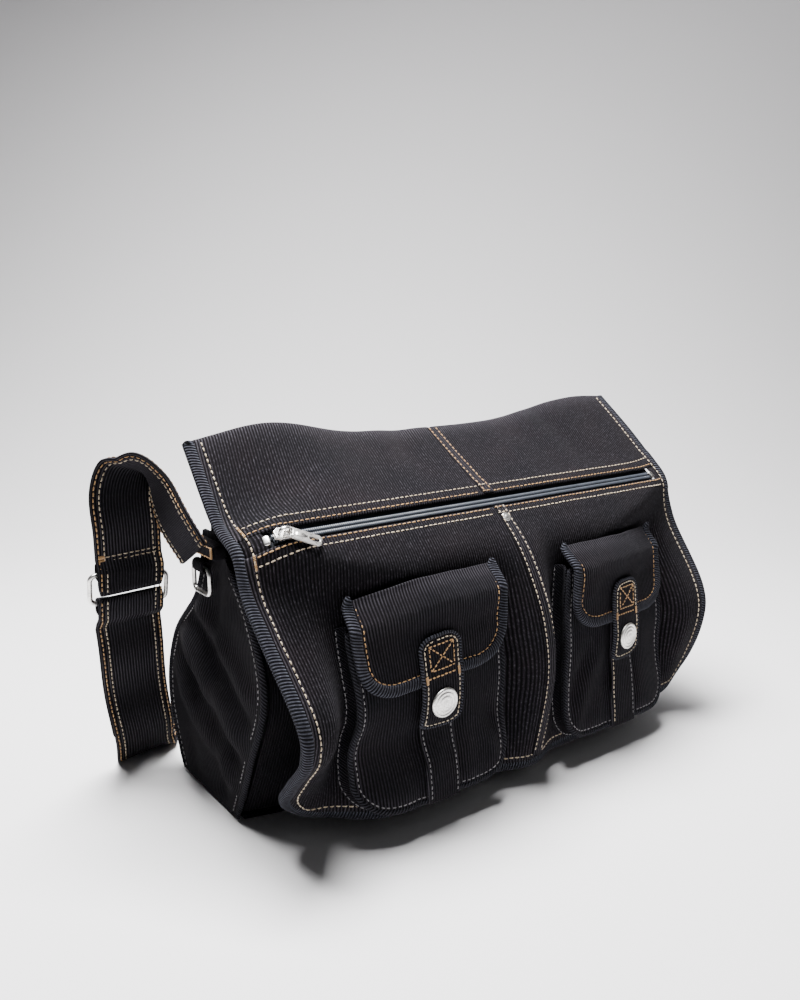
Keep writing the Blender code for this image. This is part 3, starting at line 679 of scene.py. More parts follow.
# The binding's bluish-grey worn colour on its rib tops is partly rubbed pile and partly painted
# highlight.
BIAS_CORD = corduroy("corduroy_binding", turn=74.0, pitch=1.9, high=(0.017, 0.0165, 0.022),
                     worn_and_highlight=(0.085, 0.09, 0.112), wear_and_highlight=0.5, strength=1.0)
BIAS_DARK = corduroy("corduroy_bias_dark", turn=52.0, pitch=1.8, high=(0.0125, 0.0118, 0.015),
                     worn_and_highlight=(0.06, 0.062, 0.076), wear_and_highlight=0.35, strength=0.9)
LINING = woven("lining_weave", "lining", (0.008, 0.008, 0.009), (0.024, 0.024, 0.027))
TAPE = woven("zip_tape_weave", "zip_tape", (0.008, 0.009, 0.012), (0.026, 0.03, 0.038), 0.8)
COIL_PITCH = 1.5
COIL = coil_material(COIL_PITCH)
BOARD = fibrous("stiffener_board", "board", (5.0, 0.7), (0.03, 0.026, 0.022), (0.09, 0.08, 0.07),
                0.3, Roughness=0.8)
NICKEL = metal("nickel", (0.78, 0.765, 0.74), 0.2, 0.36)
PEWTER = metal("worn_nickel", (0.7, 0.685, 0.66), 0.26, 0.46, 900.0)
COLOURS = {
    "gold": thread_material("thread_gold", (0.26, 0.13, 0.04), (0.66, 0.4, 0.16)),
    "cream": thread_material("thread_cream", (0.33, 0.25, 0.16), (0.78, 0.68, 0.52)),
    "grey": thread_material("thread_grey", (0.09, 0.085, 0.09), (0.3, 0.28, 0.29)),
}


# ------------------------------------------------------------------ the flap
SIDES = (("left", -1), ("right", 1))
SLOT_TOP = 81.0           # cloth edges above and below the zip
SLOT_FOOT = 92.5
SEAM_RELIEF = 0.7
SEAM_HALF = 5.5           # half width of the felled centre seam
EDGE_INSET = 3.5          # the binding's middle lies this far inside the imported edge
HEM_TURN = FLAP_LENGTH - FLAP_CORNER
ROUND = (10, 20, 30, 40, 50, 60, 70, 80, 87)


def flap_level(s):
    """Extra height where the cloth is doubled along the zip."""
    return SEAM_RELIEF * (smooth_step(65, 69, s) - smooth_step(103, 107, s))


def rounded_rows(start, length, corner, count):
    """Rows down a panel, closing up round its lower corners."""
    return steps(start, length - corner, count) + [
        length - corner + corner * math.sin(math.radians(a)) for a in ROUND]


def flap_cloth(side, sign):
    """The yoke above the zip and the panel below it, on one side of the centre seam."""
    def line_at(s):
        return [sign * x for x in steps(0.4, flap_reach(s, 4.0), 50)]

    def spot(u, s):
        return on_flap(flap_lean(s) + u, s, flap_level(s))

    # Both panels get rubbed pile and painted highlight along the top fold, the zip edges, the outer
    # edges and the hem.
    def yoke_wear_and_highlight(u, v):
        return 0.5 * bump(v, 0, 9) + 0.35 * bump(v, SLOT_TOP, 1.5) + 0.4 * bump(abs(u), 195, 4)

    def lower_wear_and_highlight(u, v):
        return 0.35 * bump(v, SLOT_FOOT, 1.5) + 0.3 * bump(abs(u), 194, 5) + 0.25 * bump(v, 292, 6)

    for part, rows, look, wear_and_highlight in (
            ("yoke", [-13, -10, -6, -2] + steps(2, SLOT_TOP, 22), YOKE_CORD, yoke_wear_and_highlight),
            ("lower", rounded_rows(SLOT_FOOT, FLAP_LENGTH - 4, FLAP_CORNER - 4, 46), FLAP_CORD,
             lower_wear_and_highlight)):
        name = "flap_%s_%s" % (part, side)
        register(panel("cloth_" + name, rows, line_at, spot, 2.2), "flap", look, name, wear_and_highlight)


def border_track():
    """The flap's edge from the left of the ridge round the hem to the right."""
    track = [(-flap_reach(s, EDGE_INSET), s) for s in steps(-8, HEM_TURN, 90)]
    radius = FLAP_CORNER - EDGE_INSET
    centre = flap_reach(HEM_TURN, EDGE_INSET) - radius
    for k in range(1, 16):
        a = math.radians(6 * k)
        track.append((-centre - radius * math.cos(a), HEM_TURN + radius * math.sin(a)))
    track += [(-u, FLAP_LENGTH - EDGE_INSET) for u in steps(centre, 0, 40)[1:]]
    return track + [(-u, s) for u, s in reversed(track[:-1])]


def flap_line(pairs, height):
    """Points and normals over the flap at (distance from the seam, s) pairs."""
    path = []
    ups = []
    for u, s in pairs:
        x = u + flap_lean(s)
        up = flap_normal(x, s)
        path.append(flap_middle_surface(x, s) + up * (height + flap_level(s)))
        ups.append(up)
    return path, ups


def flap_row(colour, pairs, height, *stitch):
    threads("flap", colour).run(*flap_line(pairs, height), *stitch)


def build_flap():
    for side, sign in SIDES:
        flap_cloth(side, sign)
        ends = [sign * x for x in steps(181.5, 193.5, 5)]
        patch = panel("zip_end_patch_" + side, steps(SLOT_TOP - 2, SLOT_FOOT + 2, 6),
                      lambda s: ends, lambda x, s: on_flap(x, s, 0.2), 1.4)
        register(patch, "flap", FLAP_CORD)
    track = border_track()
    # The binding's rib tops get rubbed pile and painted highlight, in bands round the band.
    edging("bound_edge_flap", flap_line(track, -1.6), (8.0, 6.6, 16, 2.6), "flap", BIAS_CORD,
           lambda u, v: 0.55 + 0.3 * math.sin(u * 0.9), "flap_binding", ends=(3, 0.5))
    inner = [(u * (1 - 7.3 / max(abs(u), 60)) if abs(u) > 1 else u, min(s, FLAP_LENGTH - 10.6))
             for u, s in track if s > 2]
    flap_row("cream", inner, 1.25, 3.1, 1.1, 0.5)
    for s0, s1, colour in ((3, SLOT_TOP - 0.5, "gold"), (SLOT_FOOT + 0.5, 288, "cream")):
        edging("felled_seam_%d" % s0, flap_line([(0, s) for s in steps(s0, s1, 50)], 1.25),
               (10.0, 1.5, 14, 3.0), "flap", FLAP_CORD, lambda u, v: 0.25)
        for off in (-3.3, 3.3):
            flap_row(colour, [(off, s) for s in steps(s0, s1, 60)], 2.05, 2.8, 1.1, 0.44)
    for s, colour in ((72.4, "cream"), (78.6, "gold"), (94.6, "gold"), (99.6, "cream")):
        for near, far, count, height in ((-188, -SEAM_HALF, 60, 1.2), (SEAM_HALF, 188, 60, 1.2),
                                         (-SEAM_HALF, SEAM_HALF, 4, 2.3)):
            flap_row(colour, [(u, s) for u in steps(near, far, count)], height, 2.8, 1.1, 0.46)
    for s0, s1 in ((70, 80), (93, 101)):
        path, ups = flap_line([(-189, s0), (-189, s1)], 1.4)
        threads("flap", "gold").bar(*path, ups[0], 1.6, 9)
    flap_lining()


def flap_lining():
    rows = steps(8, HEM_TURN, 34) + [FLAP_LENGTH - 26, FLAP_LENGTH - 18, FLAP_LENGTH - 9]

    def line_at(s):
        return [flap_reach(s, 9.5) * u for u in steps(-1, 1, 60)]

    def spot(u, s):
        return on_flap(flap_lean(s) + u, s, -6.2 - 0.7 * soft(u / 30, s / 30, 9))

    register(panel("cloth_flap_lining", rows, line_at, spot, 0.8), "flap", LINING, "flap_lining")


def build_zip():
    line = steps(-184, 184, 90)
    normal = flap_normal(0, ZIP_S)
    for name, sign, near, far in (("upper", -1, -13, -0.5), ("lower", 1, 0.5, 13)):
        tape = panel("tape_" + name, steps(ZIP_S + near, ZIP_S + far, 5), lambda s: line,
                     lambda x, s: on_flap(x, s, -3.0), 0.7)
        register(tape, "flap", TAPE, "zip_tape_" + name)
        path = [on_flap(x, ZIP_S + sign * 1.75, -1.2) for x in steps(-178, 178, 960)]
        coil = sweep("coil_" + name, path, [normal] * len(path), pill(3.5, 2.7, 10, 2.3),
                     rib=lambda along: 0.86 + 0.16 * abs(math.sin(math.pi * along / COIL_PITCH)))
        register(coil, "flap", COIL, "zip_coil_" + name)
    for side, sign in SIDES:
        x = sign * 181.4
        up = flap_normal(x, ZIP_S)
        path = [on_flap(x + dx, ZIP_S, -0.6) for dx in steps(-2.0, 2.0, 6)]
        stop = sweep("stop_" + side, path, [up] * 7, pill(7.0, 3.0, 14, 4.0), ends=(2, 0.8))
        register(stop, "flap", NICKEL, "zip_stop_" + side)
    build_slider()


def frame_at(origin, z_axis):
    """A placement in millimetres: z as given, x as near to the bag's as it can be."""
    z = z_axis.normalized()
    x = (Vector((1, 0, 0)) - z * z.x).normalized()
    place = Matrix((x, z.cross(x), z)).transposed().to_4x4()
    place.translation = origin
    return place


def plate(name, outlines, thick, place, bevel):
    """A flat metal plate with rounded edges: its outline, then its holes."""
    data = bpy.data.curves.new(name, "CURVE")
    data.dimensions = "2D"
    data.fill_mode = "BOTH"
    data.extrude = (thick / 2 - bevel) * MM
    data.bevel_depth = bevel * MM
    data.bevel_resolution = 3
    data.offset = -bevel * MM
    for outline in outlines:
        spline = data.splines.new("POLY")
        spline.points.add(len(outline) - 1)
        for slot, p in zip(spline.points, outline):
            slot.co = (p[0] * MM, p[1] * MM, 0.0, 1.0)
        spline.use_cyclic_u = True
    curve = linked(name, data)
    bpy.context.view_layer.update()
    mesh = bpy.data.meshes.new_from_object(
        curve.evaluated_get(bpy.context.evaluated_depsgraph_get()))
    bpy.data.objects.remove(curve)
    scaled = place.copy()
    scaled.translation = place.translation * MM
    mesh.transform(scaled)
    mesh.shade_flat()
    return linked(name, mesh)


def rounded_loop(width, height, radius, count=6, shift=0.0):
    points = []
    for i, (sx, sy) in enumerate(((1, 1), (-1, 1), (-1, -1), (1, -1))):
        cx = sx * (width / 2 - radius) + shift
        cy = sy * (height / 2 - radius)
        for k in range(count + 1):
            a = math.radians(90 * i + 90 * k / count)
            points.append((cx + radius * math.cos(a), cy + radius * math.sin(a)))
    return points


def turned(name, profile, place, around):
    """A round piece from (radius, height) points, foot to top."""
    verts = []
    uvs = []
    for r, h in profile:
        for k in range(around):
            a = TAU * k / around
            x, y = r * math.cos(a), r * math.sin(a)
            verts.append(place @ Vector((x, y, h)))
            uvs.append((x, y))
    return mesh_from(name, verts, belts(len(profile), around), uvs, weld=True)


SLIDER_X = -172.0
RAIL_HEIGHT = 5.6         # the pull's end rail above the cloth
PULL_TURN = -32.0         # how far the pull lies turned below the zip's line


def build_slider():
    place = frame_at(on_flap(SLIDER_X, ZIP_S), flap_normal(SLIDER_X, ZIP_S))
    outline = [(-6.0, 2.4), (-3.0, 4.4), (4.2, 4.4), (6.0, 3.4)]
    outline += [(x, -y) for x, y in reversed(outline)]
    body = plate("slider_body", [outline], 2.6, place @ Matrix.Translation((0, 0, 2.3)), 0.5)
    register(body, "zip_slider", NICKEL, "zip_slider")
    arch = [(-3.4, 2.8), (-3.3, 5.0), (-2.8, 7.2), (-1.4, 8.2)]
    arch += [(-x, z) for x, z in reversed(arch)]
    side = place.to_3x3() @ Vector((0, 1, 0))
    bail = sweep("slider_bail", [place @ Vector((x, 0, z)) for x, z in arch], [side] * len(arch),
                 pill(1.1, 2.2, 12, 3.0))
    register(bail, "zip_slider", NICKEL)
    rail = (place @ Matrix.Translation((0, 0, RAIL_HEIGHT))
            @ Matrix.Rotation(math.radians(PULL_TURN), 4, "Z")
            @ Matrix.Rotation(math.radians(3.0), 4, "Y"))
    outlines = [rounded_loop(24.4, 8.2, 2.6, 6, 11.6), rounded_loop(4.4, 5.6, 1.2, 5, 2.75),
                rounded_loop(6.6, 2.8, 1.35, 6, 18.9)]
    register(plate("pull_plate", outlines, 1.5, rail, 0.32), "zip_pull", NICKEL, "zip_pull")
    ridge = [rail @ Vector((x, 0, 0.7)) for x in (6.4, 8.0, 12.0, 14.4)]
    normal = rail.to_3x3() @ Vector((0, 0, 1))
    rib = sweep("pull_rib", ridge, [normal] * 4, pill(3.6, 0.7, 12, 3.0), ends=(1, 0.4))
    register(rib, "zip_pull", NICKEL)


# --------------------------------------------------------------- the pockets
LID_CORNER = 23.0
STRIP_HALF = 13.5
TAB_CORNER = 10.0
TACK_V = 66.0             # the gold tack across the tab, above the snap


def rounded_reach(half, length, corner, v):
    into = v - (length - corner)
    if into <= 0:
        return half
    into = min(into, corner)
    return half - corner + math.sqrt(max(corner ** 2 - into ** 2, 0.0))


def u_track(half, start, bottom, radius, down, turn, flat):
    """Down one side, round a corner, along the foot and up the other side."""
    track = [(-half, v) for v in steps(start, bottom - radius, down)]
    for k in range(1, turn + 1):
        a = math.pi / 2 * k / turn
        track.append((-half + radius - radius * math.cos(a),
                      bottom - radius + radius * math.sin(a)))
    track += [(-u, bottom) for u in steps(half - radius, 0, flat)[1:]]
    return track + [(-u, v) for u, v in reversed(track[:-1])]


def pocket_track(inset, start, *counts):
    """A track round the pocket, inset from its edge."""
    return u_track(POCKET_HALF - inset, start, POCKET_LENGTH - inset, POCKET_CORNER - inset,
                   *counts)


def over_pocket(spot, cx, pairs, height):
    """Points and normals over a pocket's cloth at (u, v) pairs."""
    return ([spot(cx, u, v, height) for u, v in pairs], [face_normal(cx, v) for _, v in pairs])


def pocket_panel(name, rows, line_at, spot, cx, thickness):
    return panel("cloth_" + name, rows, line_at, lambda u, v: spot(cx, u, v, 0.0), thickness)


def front_at(cx, u, v, height):
    return pocket_face(cx, u, v, POCKET_DEPTH + 1.3 + height + front_folds(cx, u, v))


def build_pocket(side):
    cx = POCKET_X[side]
    name = "pocket_%s_" % side

    def line_at(v):
        reach = rounded_reach(POCKET_HALF, POCKET_LENGTH, POCKET_CORNER, v) - 0.5
        return steps(-reach, reach, 44)

    front = pocket_panel(name + "front", rounded_rows(16, POCKET_LENGTH, POCKET_CORNER, 40),
                         line_at, front_at, cx, 1.8)
    register(front, "flap", POCKET_CORD, name + "front",
             lambda u, v: 0.2 * bump(v, 152, 5) + 0.2 * bump(abs(u), 57, 3))
    pocket_sides(cx, name)
    pocket_strip(cx, name)
    pocket_lid("lid_" + side, cx, name)
    pocket_tab("lid_" + side, cx, name)
    pocket_snap("lid_" + side, cx, name)


def pocket_sides(cx, name):
    """The bellows, folded in half way up, with a welt and stitches along both edges."""
    track = pocket_track(1.6, 16, 34, 12, 18)
    rows = []
    uvs = []
    levels = ((3.6, 1.7, 0.0), (0.4, 2.3, 4.0), (-1.4, 3.4, 6.5), (-4.6, 5.4, 10.0),
              (-1.8, 7.0, 13.0), (-0.2, 8.6, 15.0), (0.8, 9.6, 16.5))
    middle = Vector((0.0, POCKET_LENGTH / 2))
    for out, height, across_cloth in levels:
        row = []
        for i, (u, v) in enumerate(track):
            a, b = track[max(i - 1, 0)], track[min(i + 1, len(track) - 1)]
            away = Vector((b[1] - a[1], a[0] - b[0])).normalized()
            if away.dot(Vector((u, v)) - middle) < 0:
                away = -away
            spread = out + 0.9 * soft(i / 5.0, height / 3, cx)
            place = (cx, u + away.x * spread, v + away.y * spread, height)
            row.append(pocket_bed(*place).lerp(pocket_face(*place),
                                               smooth_step(2.0, 9.0, height)))
        rows.append(row)
        uvs.append([(across_cloth, i * 3.4) for i in range(len(track))])
    register(grid("cloth_" + name + "bellows", rows, uvs, 1.3), "flap", BIAS_DARK,
             name + "bellows", lambda u, v: 0.35 * bump(u, 0, 1.5) + 0.3 * bump(u, 16.5, 1.0))
    counts = (40, 14, 20)
    edging("welt_" + name + "front", over_pocket(front_at, cx, pocket_track(1.2, 17, *counts), 0.5),
           (3.6, 3.2, 12, 2.3), "flap", BIAS_DARK, lambda u, v: 0.5, ends=(3, 0.5))
    for spot, inset, start, height, radius in ((front_at, 4.6, 20, 0.95, 0.4),
                                               (pocket_bed, -1.2, 18, 2.75, 0.38)):
        row = over_pocket(spot, cx, pocket_track(inset, start, *counts), height)
        threads("flap", "grey").run(*row, 2.6, 1.2, radius)


def strip_at(cx, u, v, height):
    bow = 0.8 * soft(u / 14 + cx, v / 16, 4.0) + 0.5 * (1 - (u / STRIP_HALF) ** 2)
    top = front_folds(cx, 0, v) * 0.55 + 0.6
    return pocket_face(cx, u + 0.02 * (v - 80), v, POCKET_DEPTH + 3.5 + top + bow * 0.6 + height)


def pocket_strip(cx, name):
    strip = pocket_panel(name + "strip", steps(20, POCKET_LENGTH + 1.5, 48),
                         lambda v: steps(-STRIP_HALF, STRIP_HALF, 10), strip_at, cx, 1.7)
    register(strip, "flap", POCKET_CORD, name + "strip",
             lambda u, v: 0.4 * bump(abs(u), STRIP_HALF, 1.6))
    for off in (-10.8, 10.8):
        row = over_pocket(strip_at, cx, [(off, v) for v in steps(100, POCKET_LENGTH, 40)], 0.95)
        threads("flap", "cream" if cx > 0 and off < 0 else "grey").run(*row, 2.6, 1.1, 0.42)


def lid_at(cx, u, v, height):
    return pocket_face(cx, u, v, lid_height(v) + 1.6 + lid_folds(cx, u, v) + height)


def pocket_lid(body, cx, name):
    length = LID_LENGTH - 3.4
    half = LID_HALF - 3.4

    def line_at(v):
        reach = rounded_reach(half, length, LID_CORNER, v)
        return steps(-reach, reach, 36)

    lid = pocket_panel(name + "lid", [0.4] + rounded_rows(2.0, length, LID_CORNER, 20), line_at,
                       lid_at, cx, 2.0)
    register(lid, body, POCKET_CORD, name + "lid",
             lambda u, v: 0.45 * bump(v, 3, 4) + 0.2 * bump(v, 18, 5))
    track = u_track(LID_HALF - 3.1, -4.0, LID_LENGTH - 3.1, LID_CORNER + 1, 26, 14, 16)
    path = []
    ups = []
    for i, (u, v) in enumerate(track):
        a, b = track[max(i - 1, 0)], track[min(i + 1, len(track) - 1)]
        ear = 2.4 * (1 - smooth_step(-4, 10, v))
        pinch = 0.5 * soft(i / 4.0, cx, 1.0)
        path.append(pocket_face(cx, u, v, lid_height(max(v, 0.0)) + 1.9 + ear + pinch))
        there, here = [pocket_face(cx, *p, lid_height(max(p[1], 0.0))) for p in (b, a)]
        ahead = (there - here).normalized()
        up = face_normal(cx, v)
        ups.append(up - ahead * up.dot(ahead))
    # The lid binding's rib tops get rubbed pile and painted highlight, in bands round the band.
    edging("bound_edge_" + name + "lid", (path, ups), (7.6, 4.8, 16, 2.5), body, BIAS_CORD,
           lambda u, v: 0.55 + 0.25 * math.sin(u * 0.8), name + "lid_binding", ends=(4, 0.35))
    pairs = u_track(LID_HALF - 7.9, 4.0, LID_LENGTH - 7.9, LID_CORNER - 4, 26, 12, 16)
    threads(body, "gold").run(*over_pocket(lid_at, cx, pairs, 1.15), 2.6, 1.2, 0.38)


def tab_at(cx, u, v, height):
    drop = 2.2 * smooth_step(92, 103, v) + 1.0 * (1 - smooth_step(36, 46, v))
    bow = 0.7 * (1 - (u / TAB_HALF) ** 2) + 0.5 * soft(u / 11 + cx, v / 12, 6.6)
    return pocket_face(cx, u, v, TAB_HEIGHT - drop + bow + height)


def tab_reach(v, inset=0.0):
    near = min(v - TAB_FROM - inset, TAB_TO - inset - v)
    radius = TAB_CORNER - inset
    if near >= radius:
        return TAB_HALF - inset
    near = max(near, 0.0)
    return TAB_HALF - inset - radius + math.sqrt(max(radius ** 2 - (radius - near) ** 2, 0.0))


def pocket_tab(body, cx, name):
    turn = (0, 0.5, 1.5, 3, 5, 7.5, 10)
    values = [TAB_FROM + d for d in turn] + steps(TAB_FROM + 12, TAB_TO - 12, 22)
    values += [TAB_TO - d for d in reversed(turn)]

    def line_at(v):
        return steps(-tab_reach(v), tab_reach(v), 14)

    register(pocket_panel(name + "tab", values, line_at, tab_at, cx, 1.9), body, POCKET_CORD,
             name + "tab", lambda u, v: 0.55 * bump(tab_reach(v) - abs(u), 0, 2.0))
    outline = [(-tab_reach(v), v) for v in values]
    outline = outline + [(-u, v) for u, v in reversed(outline)]
    edging("welt_" + name + "tab", over_pocket(tab_at, cx, outline, 0.2), (2.2, 2.6, 10, 2.2),
           body, BIAS_CORD, lambda u, v: 0.75, cyclic=True)

    def row(points, colour="gold", radius=0.5):
        dense = []
        for (u0, v0), (u1, v1) in zip(points, points[1:]):
            n = max(2, int(math.hypot(u1 - u0, v1 - v0) / 2))
            dense += [(u0 + (u1 - u0) * k / n, v0 + (v1 - v0) * k / n) for k in range(n)]
        dense.append(points[-1])
        threads(body, colour).run(*over_pocket(tab_at, cx, dense, 1.15), 2.3, 0.9, radius)

    inner = [(-tab_reach(v, 2.6), v) for v in steps(TAB_FROM + 2.6, TAB_TO - 2.6, 60)]
    row(inner + [(-u, v) for u, v in reversed(inner)] + [inner[0]], "cream", 0.44)
    top, foot, half = TAB_FROM + 6.0, TAB_FROM + 25.0, 9.4
    row([(-half, top), (half, top), (half, foot), (-half, foot), (-half, top)], radius=0.46)
    row([(-half, top), (half, foot)])
    row([(half, top), (-half, foot)])
    row([(-12.4, TACK_V), (12.4, TACK_V)])
    up = face_normal(cx, TACK_V)
    for sign in (-1, 1):
        a = pocket_face(cx, sign * 14.5, TACK_V, 18.9)
        b = pocket_face(cx, sign * 24.0, TACK_V + 0.6, 18.1)
        threads(body, "gold").bar(a, b, up, 2.2, 13)
        a, b = [tab_at(cx, sign * 12.9, v, 1.2) for v in (TACK_V - 2.5, TACK_V + 3.0)]
        threads(body, "gold").bar(a, b, up, 2.0, 7)


def snap_place(cx):
    return frame_at(pocket_face(cx, 0, SNAP_V, 0), face_normal(cx, SNAP_V))


def pocket_snap(body, cx, name):
    """The cap: a rolled rim and plain concentric rings."""
    base = TAB_HEIGHT + 1.4
    shape = [(0.0, 0.0), (9.6, 0.0), (10.3, 0.25), (10.6, 0.8), (10.4, 1.4), (9.7, 1.85),
             (9.0, 1.95), (8.6, 1.75), (8.3, 1.5), (7.9, 1.6), (7.5, 1.95), (6.6, 2.15),
             (6.1, 2.0), (5.8, 1.8), (5.4, 1.95), (4.6, 2.3), (3.2, 2.5), (2.9, 2.35),
             (2.5, 2.4), (1.4, 2.7), (0.0, 2.75)]
    cap = turned("cap_" + name + "snap", [(r * 0.96, base + h) for r, h in shape],
                 snap_place(cx), 56)
    register(cap, body, PEWTER, name + "snap_cap")


def snap_inner(side):
    """The stud on the strip and the socket under the tab."""
    name = "pocket_%s_snap_" % side
    for part, tag, body, base, shape in (
            ("stud", "lower", "flap", POCKET_DEPTH + 4.7,
             [(0, 0), (5.6, 0), (5.7, 0.3), (5.2, 0.5), (3.2, 0.55), (2.9, 0.8), (1.6, 0.9),
              (0, 0.85)]),
            ("socket", "upper", "lid_" + side, TAB_HEIGHT - 1.1,
             [(0, -0.5), (2.6, -0.5), (2.9, -0.75), (5.0, -0.7), (5.8, -0.3), (6.0, 0), (0, 0)])):
        piece = turned("%s_%s%s" % (part, name, tag), [(r, base + h) for r, h in shape],
                       snap_place(POCKET_X[side]), 40)
        register(piece, body, NICKEL, name + part)


def build_rivet():
    s = 103.5
    x = flap_lean(s)
    shape = [(0, 1.3), (3.2, 1.3), (3.7, 1.6), (3.8, 2.1), (3.5, 2.6), (2.6, 2.9), (1.9, 2.75),
             (1.5, 2.9), (0.8, 3.1), (0, 3.15)]
    cap = turned("rivet_cap", shape, frame_at(on_flap(x, s), flap_normal(x, s)), 32)
    register(cap, "flap", PEWTER, "seam_rivet")


# ------------------------------------------------------------------ the body
GUSSET_TOP = 176          # the front panel's edge ends at this height


def gusset_point(sign, part, z, quiet=False):
    """A point of a side gusset, part of the way from its front edge to its back edge."""
    edge = sign * PANEL_HALF
    front = y_at_height(front_point, edge, min(z, GUSSET_TOP)) - 1.2 + max(z - GUSSET_TOP, 0)
    back = y_at_height(back_point, edge, z) + 1.2
    y = front + (back - front) * part
    out = 5.0 * bump(z, 70, 40) * bump(y, 5, 55)
    if not quiet:
        edges = smooth_step(0, 0.2, part) * (1 - smooth_step(0.8, 1.0, part))
        edges *= smooth_step(2, 16, z) * (1 - smooth_step(165, 180, z))
        lean = z + 0.55 * sign * (y - 5)
        fold = 4.5 * bump(lean, 128, 9) + 5.5 * bump(lean, 88, 12) + 4.0 * bump(lean, 44, 10)
        fold -= 4.6 * bump(lean, 108, 8) + 5.0 * bump(lean, 66, 9) + 3.0 * bump(y, 2, 9)
        fold += 2.6 * soft(y / 24, z / 20, 9.1 + sign)
        out += min(max(fold, -5.2), 8.0) * edges
    return Vector((sign * (GUSSET_X + out), y, z))


def body_panel(name, point, count, seed, node, wear_and_highlight=None):
    """The front or back panel, with soft folds that die out towards its edges."""
    def spot(x, t):
        edge = 1 - smooth_step(150, 182, abs(x))
        ends = smooth_step(0.02, 0.16, t) * (1 - smooth_step(0.86, 1.0, t))
        lift = 1.5 + 1.5 * soft(x / 45, t * 5, seed) + 1.0 * soft(x / 20, t * 9, seed + 4)
        return point(x, t) + Vector((0, lift * edge * ends, 0))

    columns = steps(-PANEL_HALF, PANEL_HALF, 66)
    obj = panel(name, steps(0, 1, count), lambda t: columns, spot, 2.6, along=245)
    register(obj, "body", BODY_CORD, node, wear_and_highlight)


def build_gusset(side, sign):
    rows = []
    uvs = []
    for z in [1.6] + steps(5, 196, 62):
        rows.append([gusset_point(sign, part, z) for part in steps(0, 1, 34)])
        uvs.append([(p.y, z) for p in rows[-1]])
    register(grid("cloth_gusset_" + side, rows, uvs, 2.6), "body", BODY_CORD, "gusset_" + side)
    for part, edge, fore, top in ((0, "front", -1, GUSSET_TOP), (1, "back", 1, 195)):
        away = Vector((sign, fore, 0)).normalized()
        path = [gusset_point(sign, part, z, True) + away * 0.6 for z in steps(2.4, top, 50)]
        edging("welt_body_%s_%s" % (side, edge), (path, [away] * len(path)), (4.4, 3.8, 12, 2.2),
               "body", BIAS_DARK, lambda u, v: 0.35, floor=True, ends=(3, 0.5))
        inside = Vector((sign * 1.6, fore * -5.0, 0))
        path = [gusset_point(sign, part, z, True) + inside for z in steps(6, 172, 60)]
        threads("body", "grey").run(path, [Vector((sign, 0, 0))] * len(path), 2.6, 1.3, 0.4)


def build_body():
    body_panel("cloth_body_front", front_point, 46, 3.0, "body_front_panel")
    body_panel("cloth_body_back", back_point, 56, 13.0, "body_back_panel",
               lambda u, v: 0.15 + 0.25 * bump(v, 150, 30))
    for side, sign in SIDES:
        build_gusset(side, sign)
    build_base()
    back_stitching()
    rows = []
    uvs = []
    half = PANEL_HALF - 4.5
    for z in steps(8, 164, 22):
        ring = [Vector((x, y_at_height(point, x, z) + inward, z))
                for point, inward, way in ((front_point, 4.8, 1), (back_point, -4.8, -1))
                for x in steps(-half * way, half * way, 30)]
        ring.append(ring[0].copy())
        rows.append(ring)
        uvs.append([(i * 12.0, z) for i in range(len(ring))])
    register(grid("cloth_body_lining", rows, uvs, 0.9, closed=True), "body", LINING,
             "body_lining")


def slab(name, shift, half, levels, look, node):
    """A flat piece with a rounded rim: levels are (height, inset) from foot to top."""
    xs = steps(-half, half, 40)
    outline = [Vector((x, front_point(x, 1).y + shift, 0)) for x in xs]
    outline += [Vector((x, back_point(x, 1).y - shift, 0)) for x in reversed(xs)]
    verts = []
    uvs = []
    n = len(outline)
    middle = sum(outline, Vector()) / n
    for height, inset in levels:
        for p in outline:
            q = p - (p - middle).normalized() * inset
            verts.append(Vector((q.x, q.y, height)))
            uvs.append((q.x, q.y + height))
    faces = [tuple(reversed(range(n))), tuple(range((len(levels) - 1) * n, len(levels) * n))]
    register(mesh_from(name, verts, faces + belts(len(levels), n), uvs), "body", look, node)


def build_base():
    slab("cloth_base_panel", -1.6, PANEL_HALF,
         ((0.0, 1.4), (0.4, 0.4), (1.2, 0.0), (2.2, 0.0), (2.9, 0.5), (3.2, 1.4)),
         BODY_CORD, "base_panel")
    slab("board_base", 6.0, PANEL_HALF - 8,
         ((4.2, 0.4), (4.5, 0.0), (6.1, 0.0), (6.4, 0.4)), BOARD, "base_board")


def back_row(colour, spots, *stitch):
    """A row of stitches over the back panel at (x, t) spots."""
    path = []
    ups = []
    for x, t in spots:
        ahead = back_point(x, min(t + 0.01, 1)) - back_point(x, max(t - 0.01, 0))
        normal = Vector((1, 0, 0)).cross(ahead).normalized()
        if normal.y < 0:
            normal = -normal
        path.append(back_point(x, t) + normal * 1.7)
        ups.append(normal)
    threads("body", colour).run(path, ups, *stitch)


def back_stitching():
    for t, colour in ((0.03, "cream"), (0.055, "gold")):
        back_row(colour, [(x, t) for x in steps(-178, 178, 90)], 2.8, 1.2, 0.46)
    for x in (-178.5, 178.5):
        back_row("grey", [(x, t) for t in steps(0.03, 0.97, 70)], 2.6, 1.3, 0.42)


# ------------------------------------------------- anchors, rings, the strap
RING_PLACE = Vector((193.6, 9.0, 172.0))   # the middle of the right ring loop
ANCHOR_X = 194.7
ANCHOR_Z = 188.0
STRAP_WIDTH = 46.0
STRAP_THICK = 3.2
TAIL_THICK = 2.4
HEM_REACH = 9.8           # the strap's hems end this far past the ring's bars


def ring_wire(name, points, radius, body, node):
    """A cold-bent wire ring; the profile is a true round."""
    middle = sum(points, Vector()) / len(points)
    ups = [(p - middle).normalized() for p in points]
    circle = [(radius * math.cos(TAU * k / 14), radius * math.sin(TAU * k / 14)) for k in range(14)]
    register(sweep(name, points, ups, circle, cyclic=True), body, NICKEL, node)


